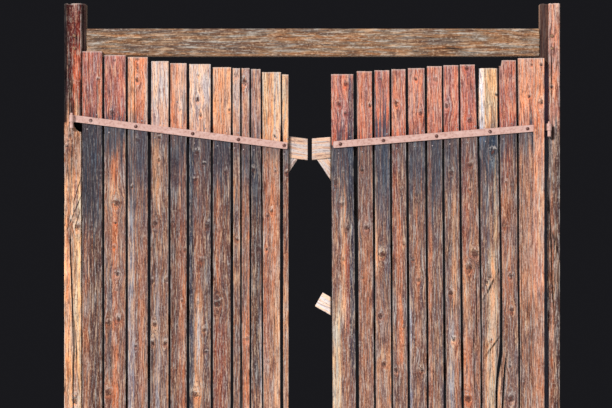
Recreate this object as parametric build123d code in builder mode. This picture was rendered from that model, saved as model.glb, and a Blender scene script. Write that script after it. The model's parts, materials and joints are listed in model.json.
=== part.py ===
from build123d import *
import os
from dataclasses import dataclass
from math import cos, radians, sin, sqrt, tan

# A double-leaf barn door of ledged and braced board leaves in a timber frame, sagged with age.
# Millimetres. X runs to the right, Y into the barn and Z up. The origin lies on the ground, at the
# middle of the frame's width and of the whole depth. The leaves open outwards, towards -Y.
# Each leaf has racked: its boards still hang upright, but each has slipped below the one before it,
# and its ledges and straps slope down to the meeting edge, where the last board has been lost.

# The doorway's clear height, under the lintel
LINTEL_UNDERSIDE = 2918.0

# Boards, cut somewhat shorter than the doorway is high
BOARD_THICKNESS = 25.0
BOARD_SHORTFALL = 158.0
BOARD_LENGTH = LINTEL_UNDERSIDE - BOARD_SHORTFALL
BOARD_ARRIS = 1.5

# One row for each board, counted from the hinge side: its width at the top and at the bottom,
# the gap to the next board at the top and at the bottom, how far its top stands above the sloping
# line that the tops follow, and, where a bolt of each strap passes through it, how far past its
# middle that bolt lies.
LEFT_BOARDS = [
    (132, 132, 10, 10, 0, -9),
    (142, 142, 10, 10, -6, None),
    (132, 132, 19, 10, 0, -12),
    (116, 126, 6, 6, -8, None),
    (110, 110, 13, 13, -6, None),
    (142, 142, 10, 10, 6, -46),
    (122, 122, 6, 6, 4, None),
    (52, 52, 6, 6, 10, 14),
    (55, 55, 6, 6, 18, None),
    (65, 77, 6, 4, 20, None),
    (122, 113, 10, 10, 13, None),
    (42, 42, 0, 0, 10, -8),
]
RIGHT_BOARDS = [
    (171, 171, 10, 4, 4, 22),
    (110, 126, 10, 8, 3, None),
    (119, 88, 26, 9, -38, -11),
    (100, 110, 4, 6, -4, None),
    (103, 110, 4, 6, 1, None),
    (100, 106, 13, 6, 3, -12.5),
    (110, 113, 13, 10, 0, None),
    (94, 100, 10, 6, 3, None),
    (100, 106, 12, 6, 5, -9.5),
    (100, 103, 22, 10, 8, None),
    (145, 160, 0, 0, 1, 10.5),
]

# Marks of age on single boards of the right leaf
NOTCHED_BOARD = 1
NOTCH_WIDTH = 20.0
NOTCH_HEIGHT = 39.0
CRACK_HEIGHT = 865.0
CRACK_WIDTH = 14.0
CRACK_OFFSET = 42.0
WANEY_BOARD = 2
WANE_WIDTH = 26.0
WANE_DEPTH = 14.0
WANE_LENGTH = 350.0
WANE_END = 1.0

# Cover strip on the right leaf's hinge-side board, housed over the straps
STRIP_WIDTH = 71.0
STRIP_THICKNESS = 20.0
HOUSING_CLEARANCE = 0.6

# Ledges and braces, on the back of the boards
LEDGE_HEIGHT = 140.0
LEDGE_THICKNESS = 45.0
LEDGE_END_CLEARANCE = 8.0
LEDGE_ARRIS = 3.0
BRACE_WIDTH = 125.0
LOWER_BRACE_WIDTH = 103.0
LOWER_BRACE_ANGLE = 30.0
LOWER_BRACE_REACH = 78.0
LOWER_BRACE_RISE = 1319.0

# Strap hinges, with eyes rolled forwards round the pins
STRAP_WIDTH = 44.0
STRAP_THICKNESS = 6.0
STRAP_TIP_RADIUS = 8.0
UPPER_STRAP_DROP = 450.0
LOWER_STRAP_RISE = 415.0
PIN_RADIUS = 8.5
PIN_CLEARANCE = 0.3
PIN_PROUD = 14.0
PIN_TIP_SHARE = 0.6
EYE_SLIT = 1.2
BOSS_RADIUS = 11.5
BOSS_HEIGHT = 40.0
BOSS_RIM_SHARE = 0.3
SHANK_RADIUS = 7.5
SHANK_DEPTH = 95.0
SHANK_POINT = 5.0

# Bolts through strap, board and ledge, with washers and square nuts
BOLT_RADIUS = 5.0
BOLT_CLEARANCE = 0.4
BOLT_HEAD_RADIUS = 12.0
BOLT_HEAD_HEIGHT = 7.0
BOLT_END = 4.0
WASHER_RADIUS = 17.0
WASHER_THICKNESS = 3.0
NUT_SIZE = 18.0
NUT_THICKNESS = 9.0
NUT_CHAMFER = 1.5

# Frame
POST_HORN = 162.0
POST_DEPTH = 120.0
POST_RECESS = 4.0
POST_ARRIS = 4.0
LEFT_POST_FACE = 113.0
RIGHT_POST_FACE = 71.0
STOP_OVERLAP = 25.0
STOP_CLEARANCE = 4.0
LINTEL_HEIGHT = 180.0
TENON_LENGTH = 105.0
TENON_THICKNESS = 40.0
TENON_SHOULDER = 20.0
TENON_CLEARANCE = 0.3
PEG_RADIUS = 10.0
PEG_INSET = 75.0
PEG_SPACING = 80.0
PEG_PROUD = 6.0
PEG_BEVEL_SHARE = 0.2
HINGE_GOUGE_RADIUS = 38.0
HINGE_GOUGE_DEPTH = 40.0

# The gap between the ends of the two leaves' ledges
MEETING_GAP = 26.0

# Depths, worked out from the front of the hinge eyes to the back of the posts
EYE_RADIUS = PIN_RADIUS + PIN_CLEARANCE + STRAP_THICKNESS
BOX_DEPTH = 2 * EYE_RADIUS + POST_RECESS + POST_DEPTH
FACE_Y = -BOX_DEPTH / 2 + 2 * EYE_RADIUS
BOARD_BACK_Y = FACE_Y + BOARD_THICKNESS
LEDGE_BACK_Y = BOARD_BACK_Y + LEDGE_THICKNESS
AXIS_Y = FACE_Y - EYE_RADIUS
POST_FRONT_Y = FACE_Y + POST_RECESS
POST_BACK_Y = POST_FRONT_Y + POST_DEPTH
STOP_Y = BOARD_BACK_Y + STOP_CLEARANCE
TENON_Y = (STOP_Y + POST_BACK_Y) / 2
LINTEL_MIDDLE = LINTEL_UNDERSIDE + LINTEL_HEIGHT / 2
POST_HEIGHT = LINTEL_UNDERSIDE + LINTEL_HEIGHT + POST_HORN


@dataclass
class Leaf:
    """One leaf. A run is measured from its hinge-side edge towards the meeting edge.

    The main brace runs from its toe, short of the upper ledge's free end, to its heel on the lower
    ledge.
    """

    name: str
    side: int
    boards: list
    edge_gap: float
    pintle_setback: float
    top_rise: float
    rack_angle: float
    overhang: float
    strap_end: float
    ledge_drop: float
    brace_toe: float
    brace_heel: float
    hinge_edge: float = 0.0

    def width(self):
        return sum(row[0] + row[2] for row in self.boards)

    def x(self, run):
        return self.hinge_edge + self.side * run

    def slope(self):
        return tan(radians(self.rack_angle))

    def line(self, run, drop):
        """Height at a run, so far below the line of the board tops."""
        return LINTEL_UNDERSIDE + self.top_rise - self.slope() * run - drop

    def span(self, index):
        """The board's runs: near and far edge at the top, near and far edge at the bottom."""
        near_top = sum(row[0] + row[2] for row in self.boards[:index])
        near_bottom = sum(row[1] + row[3] for row in self.boards[:index])
        row = self.boards[index]
        return near_top, near_top + row[0], near_bottom, near_bottom + row[1]

    def board_top(self, index):
        near, far = self.span(index)[:2]
        return self.line((near + far) / 2, 0) + self.boards[index][4]

    def strap_tip(self):
        return self.width() - self.strap_end

    def ledge_runs(self):
        return STOP_OVERLAP + LEDGE_END_CLEARANCE, self.width() + self.overhang

    def bolt_runs(self):
        rows = enumerate(self.boards)
        return [sum(self.span(index)[:2]) / 2 + row[5] for index, row in rows if row[5] is not None]

    def bolts(self, drop):
        return [(self.x(run), self.line(run, drop)) for run in self.bolt_runs()]

    def axis_run(self):
        return -self.pintle_setback

    def eye_height(self, drop):
        """Height of the eye's middle: the strap leaves it level, then follows the slope."""
        return self.line(self.axis_run() + EYE_RADIUS, drop)


left = Leaf(
    name="left",
    side=1,
    boards=LEFT_BOARDS,
    edge_gap=3.5,
    pintle_setback=65.0,
    top_rise=40.0,
    rack_angle=7.3,
    overhang=123.0,
    strap_end=9.0,
    ledge_drop=6.0,
    brace_toe=64.0,
    brace_heel=303.0,
)
right = Leaf(
    name="right",
    side=-1,
    boards=RIGHT_BOARDS,
    edge_gap=32.5,
    pintle_setback=31.5,
    top_rise=-10.0,
    rack_angle=4.72,
    overhang=122.5,
    strap_end=16.0,
    ledge_drop=17.0,
    brace_toe=32.0,
    brace_heel=345.0,
)
LEAVES = (left, right)
LEVELS = {"upper": UPPER_STRAP_DROP, "lower": BOARD_LENGTH - LOWER_STRAP_RISE}

FRAME_WIDTH = (
    LEFT_POST_FACE + left.edge_gap + left.width() + left.overhang + MEETING_GAP
    + right.overhang + right.width() + right.edge_gap + RIGHT_POST_FACE
)
left.hinge_edge = -FRAME_WIDTH / 2 + LEFT_POST_FACE + left.edge_gap
right.hinge_edge = FRAME_WIDTH / 2 - RIGHT_POST_FACE - right.edge_gap


def front_plane(y):
    """An upright plane at depth y, seen from the front: its own axes are X and Z."""
    return Plane.XZ.offset(-y)


def finish(builder, name):
    builder.part.label = name
    export_step(builder.part, f"parts/{name}.step")


def bolt_holes(leaf, front_y, depth, near, far):
    """Drills the holes of both straps whose runs lie between near and far."""
    radius = BOLT_RADIUS + BOLT_CLEARANCE
    spots = [
        spot
        for drop in LEVELS.values()
        for run, spot in zip(leaf.bolt_runs(), leaf.bolts(drop))
        if near - radius < run < far + radius
    ]
    if not spots:
        return
    with BuildSketch(front_plane(front_y)) as holes:
        with Locations(*spots):
            Circle(radius)
    extrude(holes.sketch, amount=-depth, mode=Mode.SUBTRACT)


def notch_top(leaf, far, top):
    """A piece broken from the top corner on the meeting side."""
    corner = (leaf.x(far - NOTCH_WIDTH / 2), top - NOTCH_HEIGHT / 2)
    with BuildSketch(front_plane(FACE_Y)) as notch:
        with Locations(corner):
            Rectangle(NOTCH_WIDTH, NOTCH_HEIGHT)
    extrude(notch.sketch, amount=-BOARD_THICKNESS, mode=Mode.SUBTRACT)


def crack_bottom(leaf, far, bottom):
    """A long crack that runs up from the bottom end and opens downwards."""
    middle = far - CRACK_OFFSET
    with BuildSketch(front_plane(FACE_Y)) as crack:
        with BuildLine():
            Polyline(
                (leaf.x(middle - CRACK_WIDTH / 2), bottom),
                (leaf.x(middle + CRACK_WIDTH / 2), bottom),
                (leaf.x(middle - CRACK_WIDTH), bottom + CRACK_HEIGHT),
                close=True,
            )
        make_face()
    extrude(crack.sketch, amount=-BOARD_THICKNESS, mode=Mode.SUBTRACT)


def wane_edge(leaf, far, top):
    """The slant of the log's own skin along the upper part of the meeting-side edge."""
    x = leaf.x(far)
    inner = leaf.x(far - WANE_WIDTH)
    with BuildSketch(Plane.XY.offset(top)) as upper_end:
        with BuildLine():
            Polyline((x, FACE_Y), (inner, FACE_Y), (x, FACE_Y + WANE_DEPTH), close=True)
        make_face()
    with BuildSketch(Plane.XY.offset(top - WANE_LENGTH)) as lower_end:
        with BuildLine():
            Polyline((x, FACE_Y), (leaf.x(far - WANE_END), FACE_Y), (x, FACE_Y + WANE_END), close=True)
        make_face()
    loft([upper_end.sketch, lower_end.sketch], mode=Mode.SUBTRACT)


def make_board(leaf, index):
    near_top, far_top, near_bottom, far_bottom = leaf.span(index)
    top = leaf.board_top(index)
    bottom = top - BOARD_LENGTH
    with BuildPart() as board:
        with BuildSketch(front_plane(FACE_Y)):
            with BuildLine():
                Polyline(
                    (leaf.x(near_bottom), bottom),
                    (leaf.x(far_bottom), bottom),
                    (leaf.x(far_top), top),
                    (leaf.x(near_top), top),
                    close=True,
                )
            make_face()
        extrude(amount=-BOARD_THICKNESS)
        long_edges = board.edges().filter_by(lambda edge: edge.length > BOARD_LENGTH / 2)
        chamfer(long_edges, BOARD_ARRIS)
        near, far = min(near_top, near_bottom), max(far_top, far_bottom)
        bolt_holes(leaf, FACE_Y, BOARD_THICKNESS, near, far)
        if leaf is right and index == NOTCHED_BOARD:
            notch_top(leaf, far_top, top)
            crack_bottom(leaf, far_bottom, bottom)
        if leaf is right and index == WANEY_BOARD:
            wane_edge(leaf, far_top, top)
    finish(board, f"{leaf.name}_board_{index + 1:02d}")


def make_cover_strip(leaf):
    """The strip nailed over the hinge-side board, with a housing in its back for each strap."""
    top = leaf.board_top(0)
    strip_front_y = FACE_Y - STRIP_THICKNESS
    housing_depth = STRAP_THICKNESS + HOUSING_CLEARANCE
    half_height = STRAP_WIDTH / 2 + HOUSING_CLEARANCE
    with BuildPart() as strip:
        with BuildSketch(front_plane(strip_front_y)):
            with Locations((leaf.x(STRIP_WIDTH / 2), top - BOARD_LENGTH / 2)):
                Rectangle(STRIP_WIDTH, BOARD_LENGTH)
        extrude(amount=-STRIP_THICKNESS)
        front_edges = strip.faces().sort_by(Axis.Y)[0].edges().filter_by(Axis.Z)
        chamfer(front_edges, 2 * BOARD_ARRIS)
        with BuildSketch(front_plane(FACE_Y)):
            for drop in LEVELS.values():
                with BuildLine():
                    Polyline(
                        (leaf.x(0), leaf.line(0, drop) + half_height),
                        (leaf.x(STRIP_WIDTH), leaf.line(STRIP_WIDTH, drop) + half_height),
                        (leaf.x(STRIP_WIDTH), leaf.line(STRIP_WIDTH, drop) - half_height),
                        (leaf.x(0), leaf.line(0, drop) - half_height),
                        close=True,
                    )
                make_face()
        extrude(amount=housing_depth, mode=Mode.SUBTRACT)
    finish(strip, f"{leaf.name}_cover_strip")


def make_ledge(leaf, level, drop):
    """A ledge across the back of the boards, sloped as its strap is, with both ends cut upright."""
    near, far = leaf.ledge_runs()
    middle_drop = drop + leaf.ledge_drop
    with BuildPart() as ledge:
        with BuildSketch(front_plane(BOARD_BACK_Y)):
            with BuildLine():
                Polyline(
                    (leaf.x(near), leaf.line(near, middle_drop) - LEDGE_HEIGHT / 2),
                    (leaf.x(far), leaf.line(far, middle_drop) - LEDGE_HEIGHT / 2),
                    (leaf.x(far), leaf.line(far, middle_drop) + LEDGE_HEIGHT / 2),
                    (leaf.x(near), leaf.line(near, middle_drop) + LEDGE_HEIGHT / 2),
                    close=True,
                )
            make_face()
        extrude(amount=-LEDGE_THICKNESS)
        back_edges = ledge.faces().sort_by(Axis.Y)[-1].edges()
        chamfer(back_edges, LEDGE_ARRIS)
        bolt_holes(leaf, BOARD_BACK_Y, LEDGE_THICKNESS, near, far)
    finish(ledge, f"{leaf.name}_{level}_ledge")


def brace_ends(leaf):
    """Toe and heel of the main brace's free-side edge, each as a run and a height."""
    toe = leaf.ledge_runs()[1] - leaf.brace_toe
    under_upper = leaf.line(toe, LEVELS["upper"] + leaf.ledge_drop) - LEDGE_HEIGHT / 2
    on_lower = leaf.line(leaf.brace_heel, LEVELS["lower"] + leaf.ledge_drop) + LEDGE_HEIGHT / 2
    return (toe, under_upper), (leaf.brace_heel, on_lower)


def brace_rise(leaf):
    """How steeply the main brace climbs towards the meeting edge."""
    (toe, upper), (heel, lower) = brace_ends(leaf)
    return (upper - lower) / (toe - heel)


def make_brace(leaf):
    """The main brace, from under the upper ledge's free end down onto the lower ledge."""
    rise = brace_rise(leaf)
    breadth = BRACE_WIDTH * sqrt(1 + rise**2) / (rise + leaf.slope())
    corners = []
    for run, height in brace_ends(leaf):
        corners.append((leaf.x(run), height))
        corners.append((leaf.x(run - breadth), height + leaf.slope() * breadth))
    with BuildPart() as brace:
        with BuildSketch(front_plane(BOARD_BACK_Y)):
            with BuildLine():
                Polyline(corners[0], corners[1], corners[3], corners[2], close=True)
            make_face()
        extrude(amount=-LEDGE_THICKNESS)
        chamfer(brace.faces().sort_by(Axis.Y)[-1].edges(), LEDGE_ARRIS)
    finish(brace, f"{leaf.name}_brace")


def make_lower_brace(leaf):
    """The loose-ended lower brace: cut square at its free end, mitred to the main brace."""
    angle = radians(LOWER_BRACE_ANGLE)
    end_run = leaf.width() + LOWER_BRACE_REACH
    end_height = leaf.line(end_run, BOARD_LENGTH - LOWER_BRACE_RISE)
    main_run, main_height = brace_ends(leaf)[0]
    main_rise = brace_rise(leaf)
    corners = []
    for sign in (1, -1):
        run = end_run - sign * LOWER_BRACE_WIDTH / 2 * sin(angle)
        height = end_height + sign * LOWER_BRACE_WIDTH / 2 * cos(angle)
        offset = height - main_height + main_rise * main_run - tan(angle) * run
        meet = offset / (main_rise - tan(angle))
        corners.append((leaf.x(run), height))
        corners.append((leaf.x(meet), height - tan(angle) * (run - meet)))
    outline = (corners[0], corners[1], corners[3], corners[2])
    with BuildPart() as brace:
        with BuildSketch(front_plane(BOARD_BACK_Y)):
            with BuildLine():
                Polyline(*outline, close=True)
            make_face()
        extrude(amount=-LEDGE_THICKNESS)
        chamfer(brace.faces().sort_by(Axis.Y)[-1].edges(), LEDGE_ARRIS)
    finish(brace, f"{leaf.name}_lower_brace")


def make_strap(leaf, level, drop):
    """A strap of flat bar whose hinge end is rolled forwards into an eye for the pin."""
    tip_run = leaf.strap_tip()
    axis_x = leaf.x(leaf.axis_run())
    bend_x = leaf.x(leaf.axis_run() + EYE_RADIUS)
    tip_x = leaf.x(tip_run)
    eye_middle = leaf.eye_height(drop)
    tip_middle = leaf.line(tip_run, drop)
    half = STRAP_WIDTH / 2
    with BuildPart() as strap:
        with BuildSketch(front_plane(FACE_Y)) as bar:
            with BuildLine():
                Polyline(
                    (axis_x, eye_middle - half),
                    (bend_x, eye_middle - half),
                    (tip_x, tip_middle - half),
                    (tip_x, tip_middle + half),
                    (bend_x, eye_middle + half),
                    (axis_x, eye_middle + half),
                    close=True,
                )
            make_face()
            tip_corners = bar.vertices().group_by(Axis.X)[-1 if leaf.side > 0 else 0]
            fillet(tip_corners, STRAP_TIP_RADIUS)
        extrude(amount=STRAP_THICKNESS)
        bolt_holes(leaf, FACE_Y - STRAP_THICKNESS, STRAP_THICKNESS, leaf.axis_run(), tip_run)
        with BuildSketch(Plane.XY.offset(eye_middle - half)):
            with Locations((axis_x, AXIS_Y)):
                Circle(EYE_RADIUS)
                Circle(PIN_RADIUS + PIN_CLEARANCE, mode=Mode.SUBTRACT)
            slit_x = axis_x + leaf.side * EYE_RADIUS / 2
            slit_y = FACE_Y - STRAP_THICKNESS - EYE_SLIT / 2
            with Locations((slit_x, slit_y)):
                Rectangle(EYE_RADIUS, EYE_SLIT, mode=Mode.SUBTRACT)
        extrude(amount=STRAP_WIDTH)
    finish(strap, f"{leaf.name}_{level}_strap")


def make_pintle(leaf, level, drop):
    """A pin on a boss that carries the eye, with a shank driven back into the post."""
    x = leaf.x(leaf.axis_run())
    boss_top = leaf.eye_height(drop) - STRAP_WIDTH / 2 - PIN_CLEARANCE
    pin_length = STRAP_WIDTH + PIN_CLEARANCE + PIN_PROUD
    with BuildPart() as pintle:
        with BuildSketch(Plane.XY.offset(boss_top)):
            with Locations((x, AXIS_Y)):
                Circle(PIN_RADIUS)
        extrude(amount=pin_length)
        tip = pintle.edges().filter_by(GeomType.CIRCLE).sort_by(Axis.Z)[-1]
        fillet(tip, PIN_RADIUS * PIN_TIP_SHARE)
        with BuildSketch(Plane.XY.offset(boss_top - BOSS_HEIGHT)):
            with Locations((x, AXIS_Y)):
                Circle(BOSS_RADIUS)
        extrude(amount=BOSS_HEIGHT)
        rim = pintle.edges().filter_by(GeomType.CIRCLE).sort_by(Axis.Z)[0]
        fillet(rim, BOSS_RADIUS * BOSS_RIM_SHARE)
        with BuildSketch(front_plane(AXIS_Y)):
            with Locations((x, boss_top - BOSS_HEIGHT / 2)):
                Circle(SHANK_RADIUS)
        extrude(amount=AXIS_Y - POST_FRONT_Y - SHANK_DEPTH)
        point = pintle.edges().filter_by(GeomType.CIRCLE).sort_by(Axis.Y)[-1]
        chamfer(point, SHANK_POINT)
    finish(pintle, f"{leaf.name}_{level}_pintle")


def make_bolts(leaf, level, drop):
    """Dome-headed bolts through strap, board and ledge."""
    head_y = FACE_Y - STRAP_THICKNESS
    end_y = LEDGE_BACK_Y + WASHER_THICKNESS + NUT_THICKNESS + BOLT_END
    with BuildPart() as bolts:
        for x, z in leaf.bolts(drop):
            with BuildSketch(Plane.XY.offset(z)):
                with BuildLine():
                    dome = TangentArc(
                        (x, head_y - BOLT_HEAD_HEIGHT),
                        (x + BOLT_HEAD_RADIUS, head_y),
                        tangent=(1, 0),
                    )
                    Polyline(
                        dome @ 1,
                        (x + BOLT_RADIUS, head_y),
                        (x + BOLT_RADIUS, end_y),
                        (x, end_y),
                        dome @ 0,
                    )
                make_face()
            revolve(axis=Axis((x, 0, z), (0, 1, 0)))
    finish(bolts, f"{leaf.name}_{level}_bolts")


def make_washers(leaf, level, drop):
    with BuildPart() as washers:
        with BuildSketch(front_plane(LEDGE_BACK_Y)):
            with Locations(*leaf.bolts(drop)):
                Circle(WASHER_RADIUS)
                Circle(BOLT_RADIUS + BOLT_CLEARANCE, mode=Mode.SUBTRACT)
        extrude(amount=-WASHER_THICKNESS)
    finish(washers, f"{leaf.name}_{level}_washers")


def make_nuts(leaf, level, drop):
    with BuildPart() as nuts:
        with BuildSketch(front_plane(LEDGE_BACK_Y + WASHER_THICKNESS)):
            with Locations(*leaf.bolts(drop)):
                RectangleRounded(NUT_SIZE, NUT_SIZE, NUT_CHAMFER)
                Circle(BOLT_RADIUS + BOLT_CLEARANCE / 2, mode=Mode.SUBTRACT)
        extrude(amount=-NUT_THICKNESS)
    finish(nuts, f"{leaf.name}_{level}_nuts")


def inner_edge(leaf):
    """Where the post's stop ends, behind the leaf's hinge-side edge."""
    return leaf.x(STOP_OVERLAP)


def peg_spots(leaf):
    x = inner_edge(leaf) - leaf.side * PEG_INSET
    return [(x, LINTEL_MIDDLE + step * PEG_SPACING / 2) for step in (-1, 1)]


def make_post(leaf):
    """A post with a stop cut behind the leaf, a mortise for the lintel and holes for the shanks."""
    outer = -leaf.side * FRAME_WIDTH / 2
    face_edge = leaf.x(-leaf.edge_gap)
    inner = inner_edge(leaf)
    with BuildPart() as post:
        with BuildSketch(Plane.XY):
            with BuildLine():
                Polyline(
                    (outer, POST_FRONT_Y),
                    (face_edge, POST_FRONT_Y),
                    (face_edge, STOP_Y),
                    (inner, STOP_Y),
                    (inner, POST_BACK_Y),
                    (outer, POST_BACK_Y),
                    close=True,
                )
            make_face()
        extrude(amount=POST_HEIGHT)
        upright_edges = post.edges().filter_by(Axis.Z)
        chamfer(upright_edges.sort_by_distance((face_edge, STOP_Y, POST_HEIGHT / 2))[1:], POST_ARRIS)
        mortise_depth = TENON_LENGTH + TENON_CLEARANCE
        mortise_height = LINTEL_HEIGHT - 2 * TENON_SHOULDER + 2 * TENON_CLEARANCE
        with BuildSketch(Plane.YZ.offset(inner)):
            with Locations((TENON_Y, LINTEL_MIDDLE)):
                Rectangle(TENON_THICKNESS + 2 * TENON_CLEARANCE, mortise_height)
        extrude(amount=-leaf.side * mortise_depth, mode=Mode.SUBTRACT)
        with BuildSketch(front_plane(POST_FRONT_Y)):
            with Locations(*peg_spots(leaf)):
                Circle(PEG_RADIUS + TENON_CLEARANCE)
        extrude(amount=-POST_DEPTH, mode=Mode.SUBTRACT)
        shank_drop = STRAP_WIDTH / 2 + PIN_CLEARANCE + BOSS_HEIGHT / 2
        shanks = [
            (leaf.x(leaf.axis_run()), leaf.eye_height(drop) - shank_drop)
            for drop in LEVELS.values()
        ]
        with BuildSketch(front_plane(POST_FRONT_Y)):
            with Locations(*shanks):
                Circle(SHANK_RADIUS + PIN_CLEARANCE)
        extrude(amount=-SHANK_DEPTH - PIN_CLEARANCE, mode=Mode.SUBTRACT)
        if leaf is left:
            gouge_top = leaf.line(0, UPPER_STRAP_DROP) - STRAP_WIDTH
            with BuildSketch(front_plane(POST_FRONT_Y)):
                with Locations((face_edge, gouge_top)):
                    Circle(HINGE_GOUGE_RADIUS)
                    Rectangle(
                        2 * HINGE_GOUGE_RADIUS,
                        HINGE_GOUGE_RADIUS,
                        align=(Align.CENTER, Align.MIN),
                        mode=Mode.SUBTRACT,
                    )
            extrude(amount=-HINGE_GOUGE_DEPTH, mode=Mode.SUBTRACT)
    finish(post, f"{leaf.name}_post")


def make_lintel():
    """The lintel behind the tops of the leaves, with a pegged tenon at each end."""
    start, end = inner_edge(left), inner_edge(right)
    with BuildPart() as lintel:
        with BuildSketch(Plane.YZ.offset(start)):
            with Locations((TENON_Y, LINTEL_MIDDLE)):
                Rectangle(POST_BACK_Y - STOP_Y, LINTEL_HEIGHT)
        extrude(amount=end - start)
        chamfer(lintel.edges().filter_by(Axis.X), POST_ARRIS)
        with BuildSketch(Plane.YZ.offset(start - TENON_LENGTH)):
            with Locations((TENON_Y, LINTEL_MIDDLE)):
                Rectangle(TENON_THICKNESS, LINTEL_HEIGHT - 2 * TENON_SHOULDER)
        extrude(amount=end - start + 2 * TENON_LENGTH)
        with BuildSketch(front_plane(STOP_Y)):
            with Locations(*peg_spots(left), *peg_spots(right)):
                Circle(PEG_RADIUS + TENON_CLEARANCE)
        extrude(amount=STOP_Y - POST_BACK_Y, mode=Mode.SUBTRACT)
    finish(lintel, "lintel")


def make_pegs(leaf):
    """Wooden pegs that pin the lintel's tenon in the post."""
    with BuildPart() as pegs:
        with BuildSketch(front_plane(POST_FRONT_Y - PEG_PROUD)):
            with Locations(*peg_spots(leaf)):
                Circle(PEG_RADIUS)
        extrude(amount=-PEG_PROUD - POST_DEPTH)
        chamfer(pegs.edges().filter_by(GeomType.CIRCLE).group_by(Axis.Y)[0], PEG_RADIUS * PEG_BEVEL_SHARE)
    finish(pegs, f"{leaf.name}_pegs")


os.makedirs("parts", exist_ok=True)

for leaf in LEAVES:
    for index in range(len(leaf.boards)):
        make_board(leaf, index)
    make_brace(leaf)
    for level, drop in LEVELS.items():
        make_ledge(leaf, level, drop)
        make_strap(leaf, level, drop)
        make_pintle(leaf, level, drop)
        make_bolts(leaf, level, drop)
        make_washers(leaf, level, drop)
        make_nuts(leaf, level, drop)
    make_post(leaf)
    make_pegs(leaf)
make_cover_strip(right)
make_lower_brace(right)
make_lintel()
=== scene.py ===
import json
import math
from typing import NamedTuple

import bmesh
import bpy
import numpy as np
from bpy.props import FloatProperty, FloatVectorProperty, IntProperty, PointerProperty
from bpy.types import Operator, Panel, PropertyGroup
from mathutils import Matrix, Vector, noise
from mathutils.geometry import convex_hull_2d


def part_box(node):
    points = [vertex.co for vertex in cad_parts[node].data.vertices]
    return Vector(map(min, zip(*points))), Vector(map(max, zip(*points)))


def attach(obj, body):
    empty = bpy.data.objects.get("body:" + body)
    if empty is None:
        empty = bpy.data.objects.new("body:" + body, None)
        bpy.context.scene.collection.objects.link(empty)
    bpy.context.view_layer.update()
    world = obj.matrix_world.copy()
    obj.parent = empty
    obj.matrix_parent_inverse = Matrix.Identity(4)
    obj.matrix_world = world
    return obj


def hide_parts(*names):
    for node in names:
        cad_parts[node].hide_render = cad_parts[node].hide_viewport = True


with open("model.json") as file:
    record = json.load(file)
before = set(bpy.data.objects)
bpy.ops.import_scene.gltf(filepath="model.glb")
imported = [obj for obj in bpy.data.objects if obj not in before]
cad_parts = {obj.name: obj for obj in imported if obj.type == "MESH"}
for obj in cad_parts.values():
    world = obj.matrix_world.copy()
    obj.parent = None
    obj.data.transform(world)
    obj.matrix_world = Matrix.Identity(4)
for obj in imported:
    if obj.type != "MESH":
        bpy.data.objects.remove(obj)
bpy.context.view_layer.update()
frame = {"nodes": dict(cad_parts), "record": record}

bl_info = {
    "name": "Old barn door",
    "version": (1, 0, 0),
    "blender": (4, 5, 0),
    "location": "3D View > Sidebar > Barn Door",
    "description": "Dresses a double-leaf barn door of weathered boards, iron straps and timber frame",
    "category": "Object",
}

# The door is about 3.2 m wide and 3.3 m high. Metres throughout: X to the right, Y into the barn.
LEAVES = {"left": 1.0, "right": -1.0}
LEVELS = ("upper", "lower")
DEPTH_AXIS = Vector((0.0, 1.0, 0.0))
STRAP_WIDTH = 0.044
EYE_RADIUS = 0.0148
BOLT_HEAD_RADIUS = 0.012
HOUSING_DEPTH = 0.0066
HOUSING_PLAY = 0.0006

# Timbers: the radius in an inner corner, a rounded corner's middle and width as shares of its box, the
# length over which an end draws in by the worn edge's radius, and how finely its ragged end breaks up
INNER_RADIUS = 0.0002
ARC_SHARE = 0.293
ROUNDED_SHARE = 0.4
END_TAPER = 0.08
RAGGED_ACROSS, RAGGED_DEEP = 45, 20
POST_RAGGED, LEDGE_RAGGED = 0.006, 0.004
# Waves of a board's edges for each metre, and how far apart two seeds' grain lies along a timber
LONG_WAVE, SHORT_WAVE = 4.0, 17.0
SEED_STEP = 13.7
# The ledges' worn edges and grain as a share of the posts'
LEDGE_SHARE = 0.6
# A knot's height over its width, how deep its swelling reaches, and how far a post's knots stand proud
KNOT_STRETCH = 1.3
SWELL_DEPTH = 0.012
POST_KNOT_LIFT = 0.3

# Marks of age on two boards of the right leaf
NOTCHED_BOARD = "right_board_02"
NOTCH_WIDTH = 0.020
NOTCH_HEIGHT = 0.039
CRACK_WIDTH = 0.014
CRACK_OFFSET = 0.042
CRACK_SIDES = (
    (1.2340, 0.650), (1.2395, 0.744), (1.2496, 0.913), (1.2560, 1.012),
    (1.2395, 0.913), (1.2278, 0.744), (1.2247, 0.650),
)
WANEY_BOARD = "right_board_03"
WANE_WIDTH = 0.026
WANE_DEPTH = 0.014
WANE_LENGTH = 0.350

# The gouge in the left post: (x, z) points from the face's edge and the strap's lower edge
GOUGE_OUTLINE = (
    (0.03, 0.008), (-0.044, 0.008), (-0.049, -0.008), (-0.044, -0.026), (-0.030, -0.044), (-0.012, -0.056),
    (0.03, -0.064),
)
# Where the right post's step keeps no painted shade, so its edge reads as a lit lip: its lower and upper soft
# ends, and its width
LIP_HEIGHTS = ((1.12, 1.25), (2.20, 2.08))
LIP_WIDTH = 0.009
# A board's nails at each ledge, as a share of its width and a height from the strap's middle, and how
# deep the middle of a head lies
NAIL_ROWS = ((0.26, -0.058), (0.72, 0.043))
NAIL_SINK = 0.001

# The stage
FLOOR_REACH = 6.0
KEY_DIRECTION = (1.0, 1.25, -1.0)
KEY_ANGLE = math.radians(5)
KEY_COLOUR = (1.0, 0.975, 0.94)
SOFT_COLOUR = (0.94, 0.97, 1.0, 1.0)


def shade(red, green, blue):
    """A colour given as it looks on paper, 0 to 255, turned into the renderer's linear values."""
    def linear(value):
        value = value / 255
        return value / 12.92 if value <= 0.04045 else ((value + 0.055) / 1.055) ** 2.4
    return (linear(red), linear(green), linear(blue), 1.0)


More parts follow.
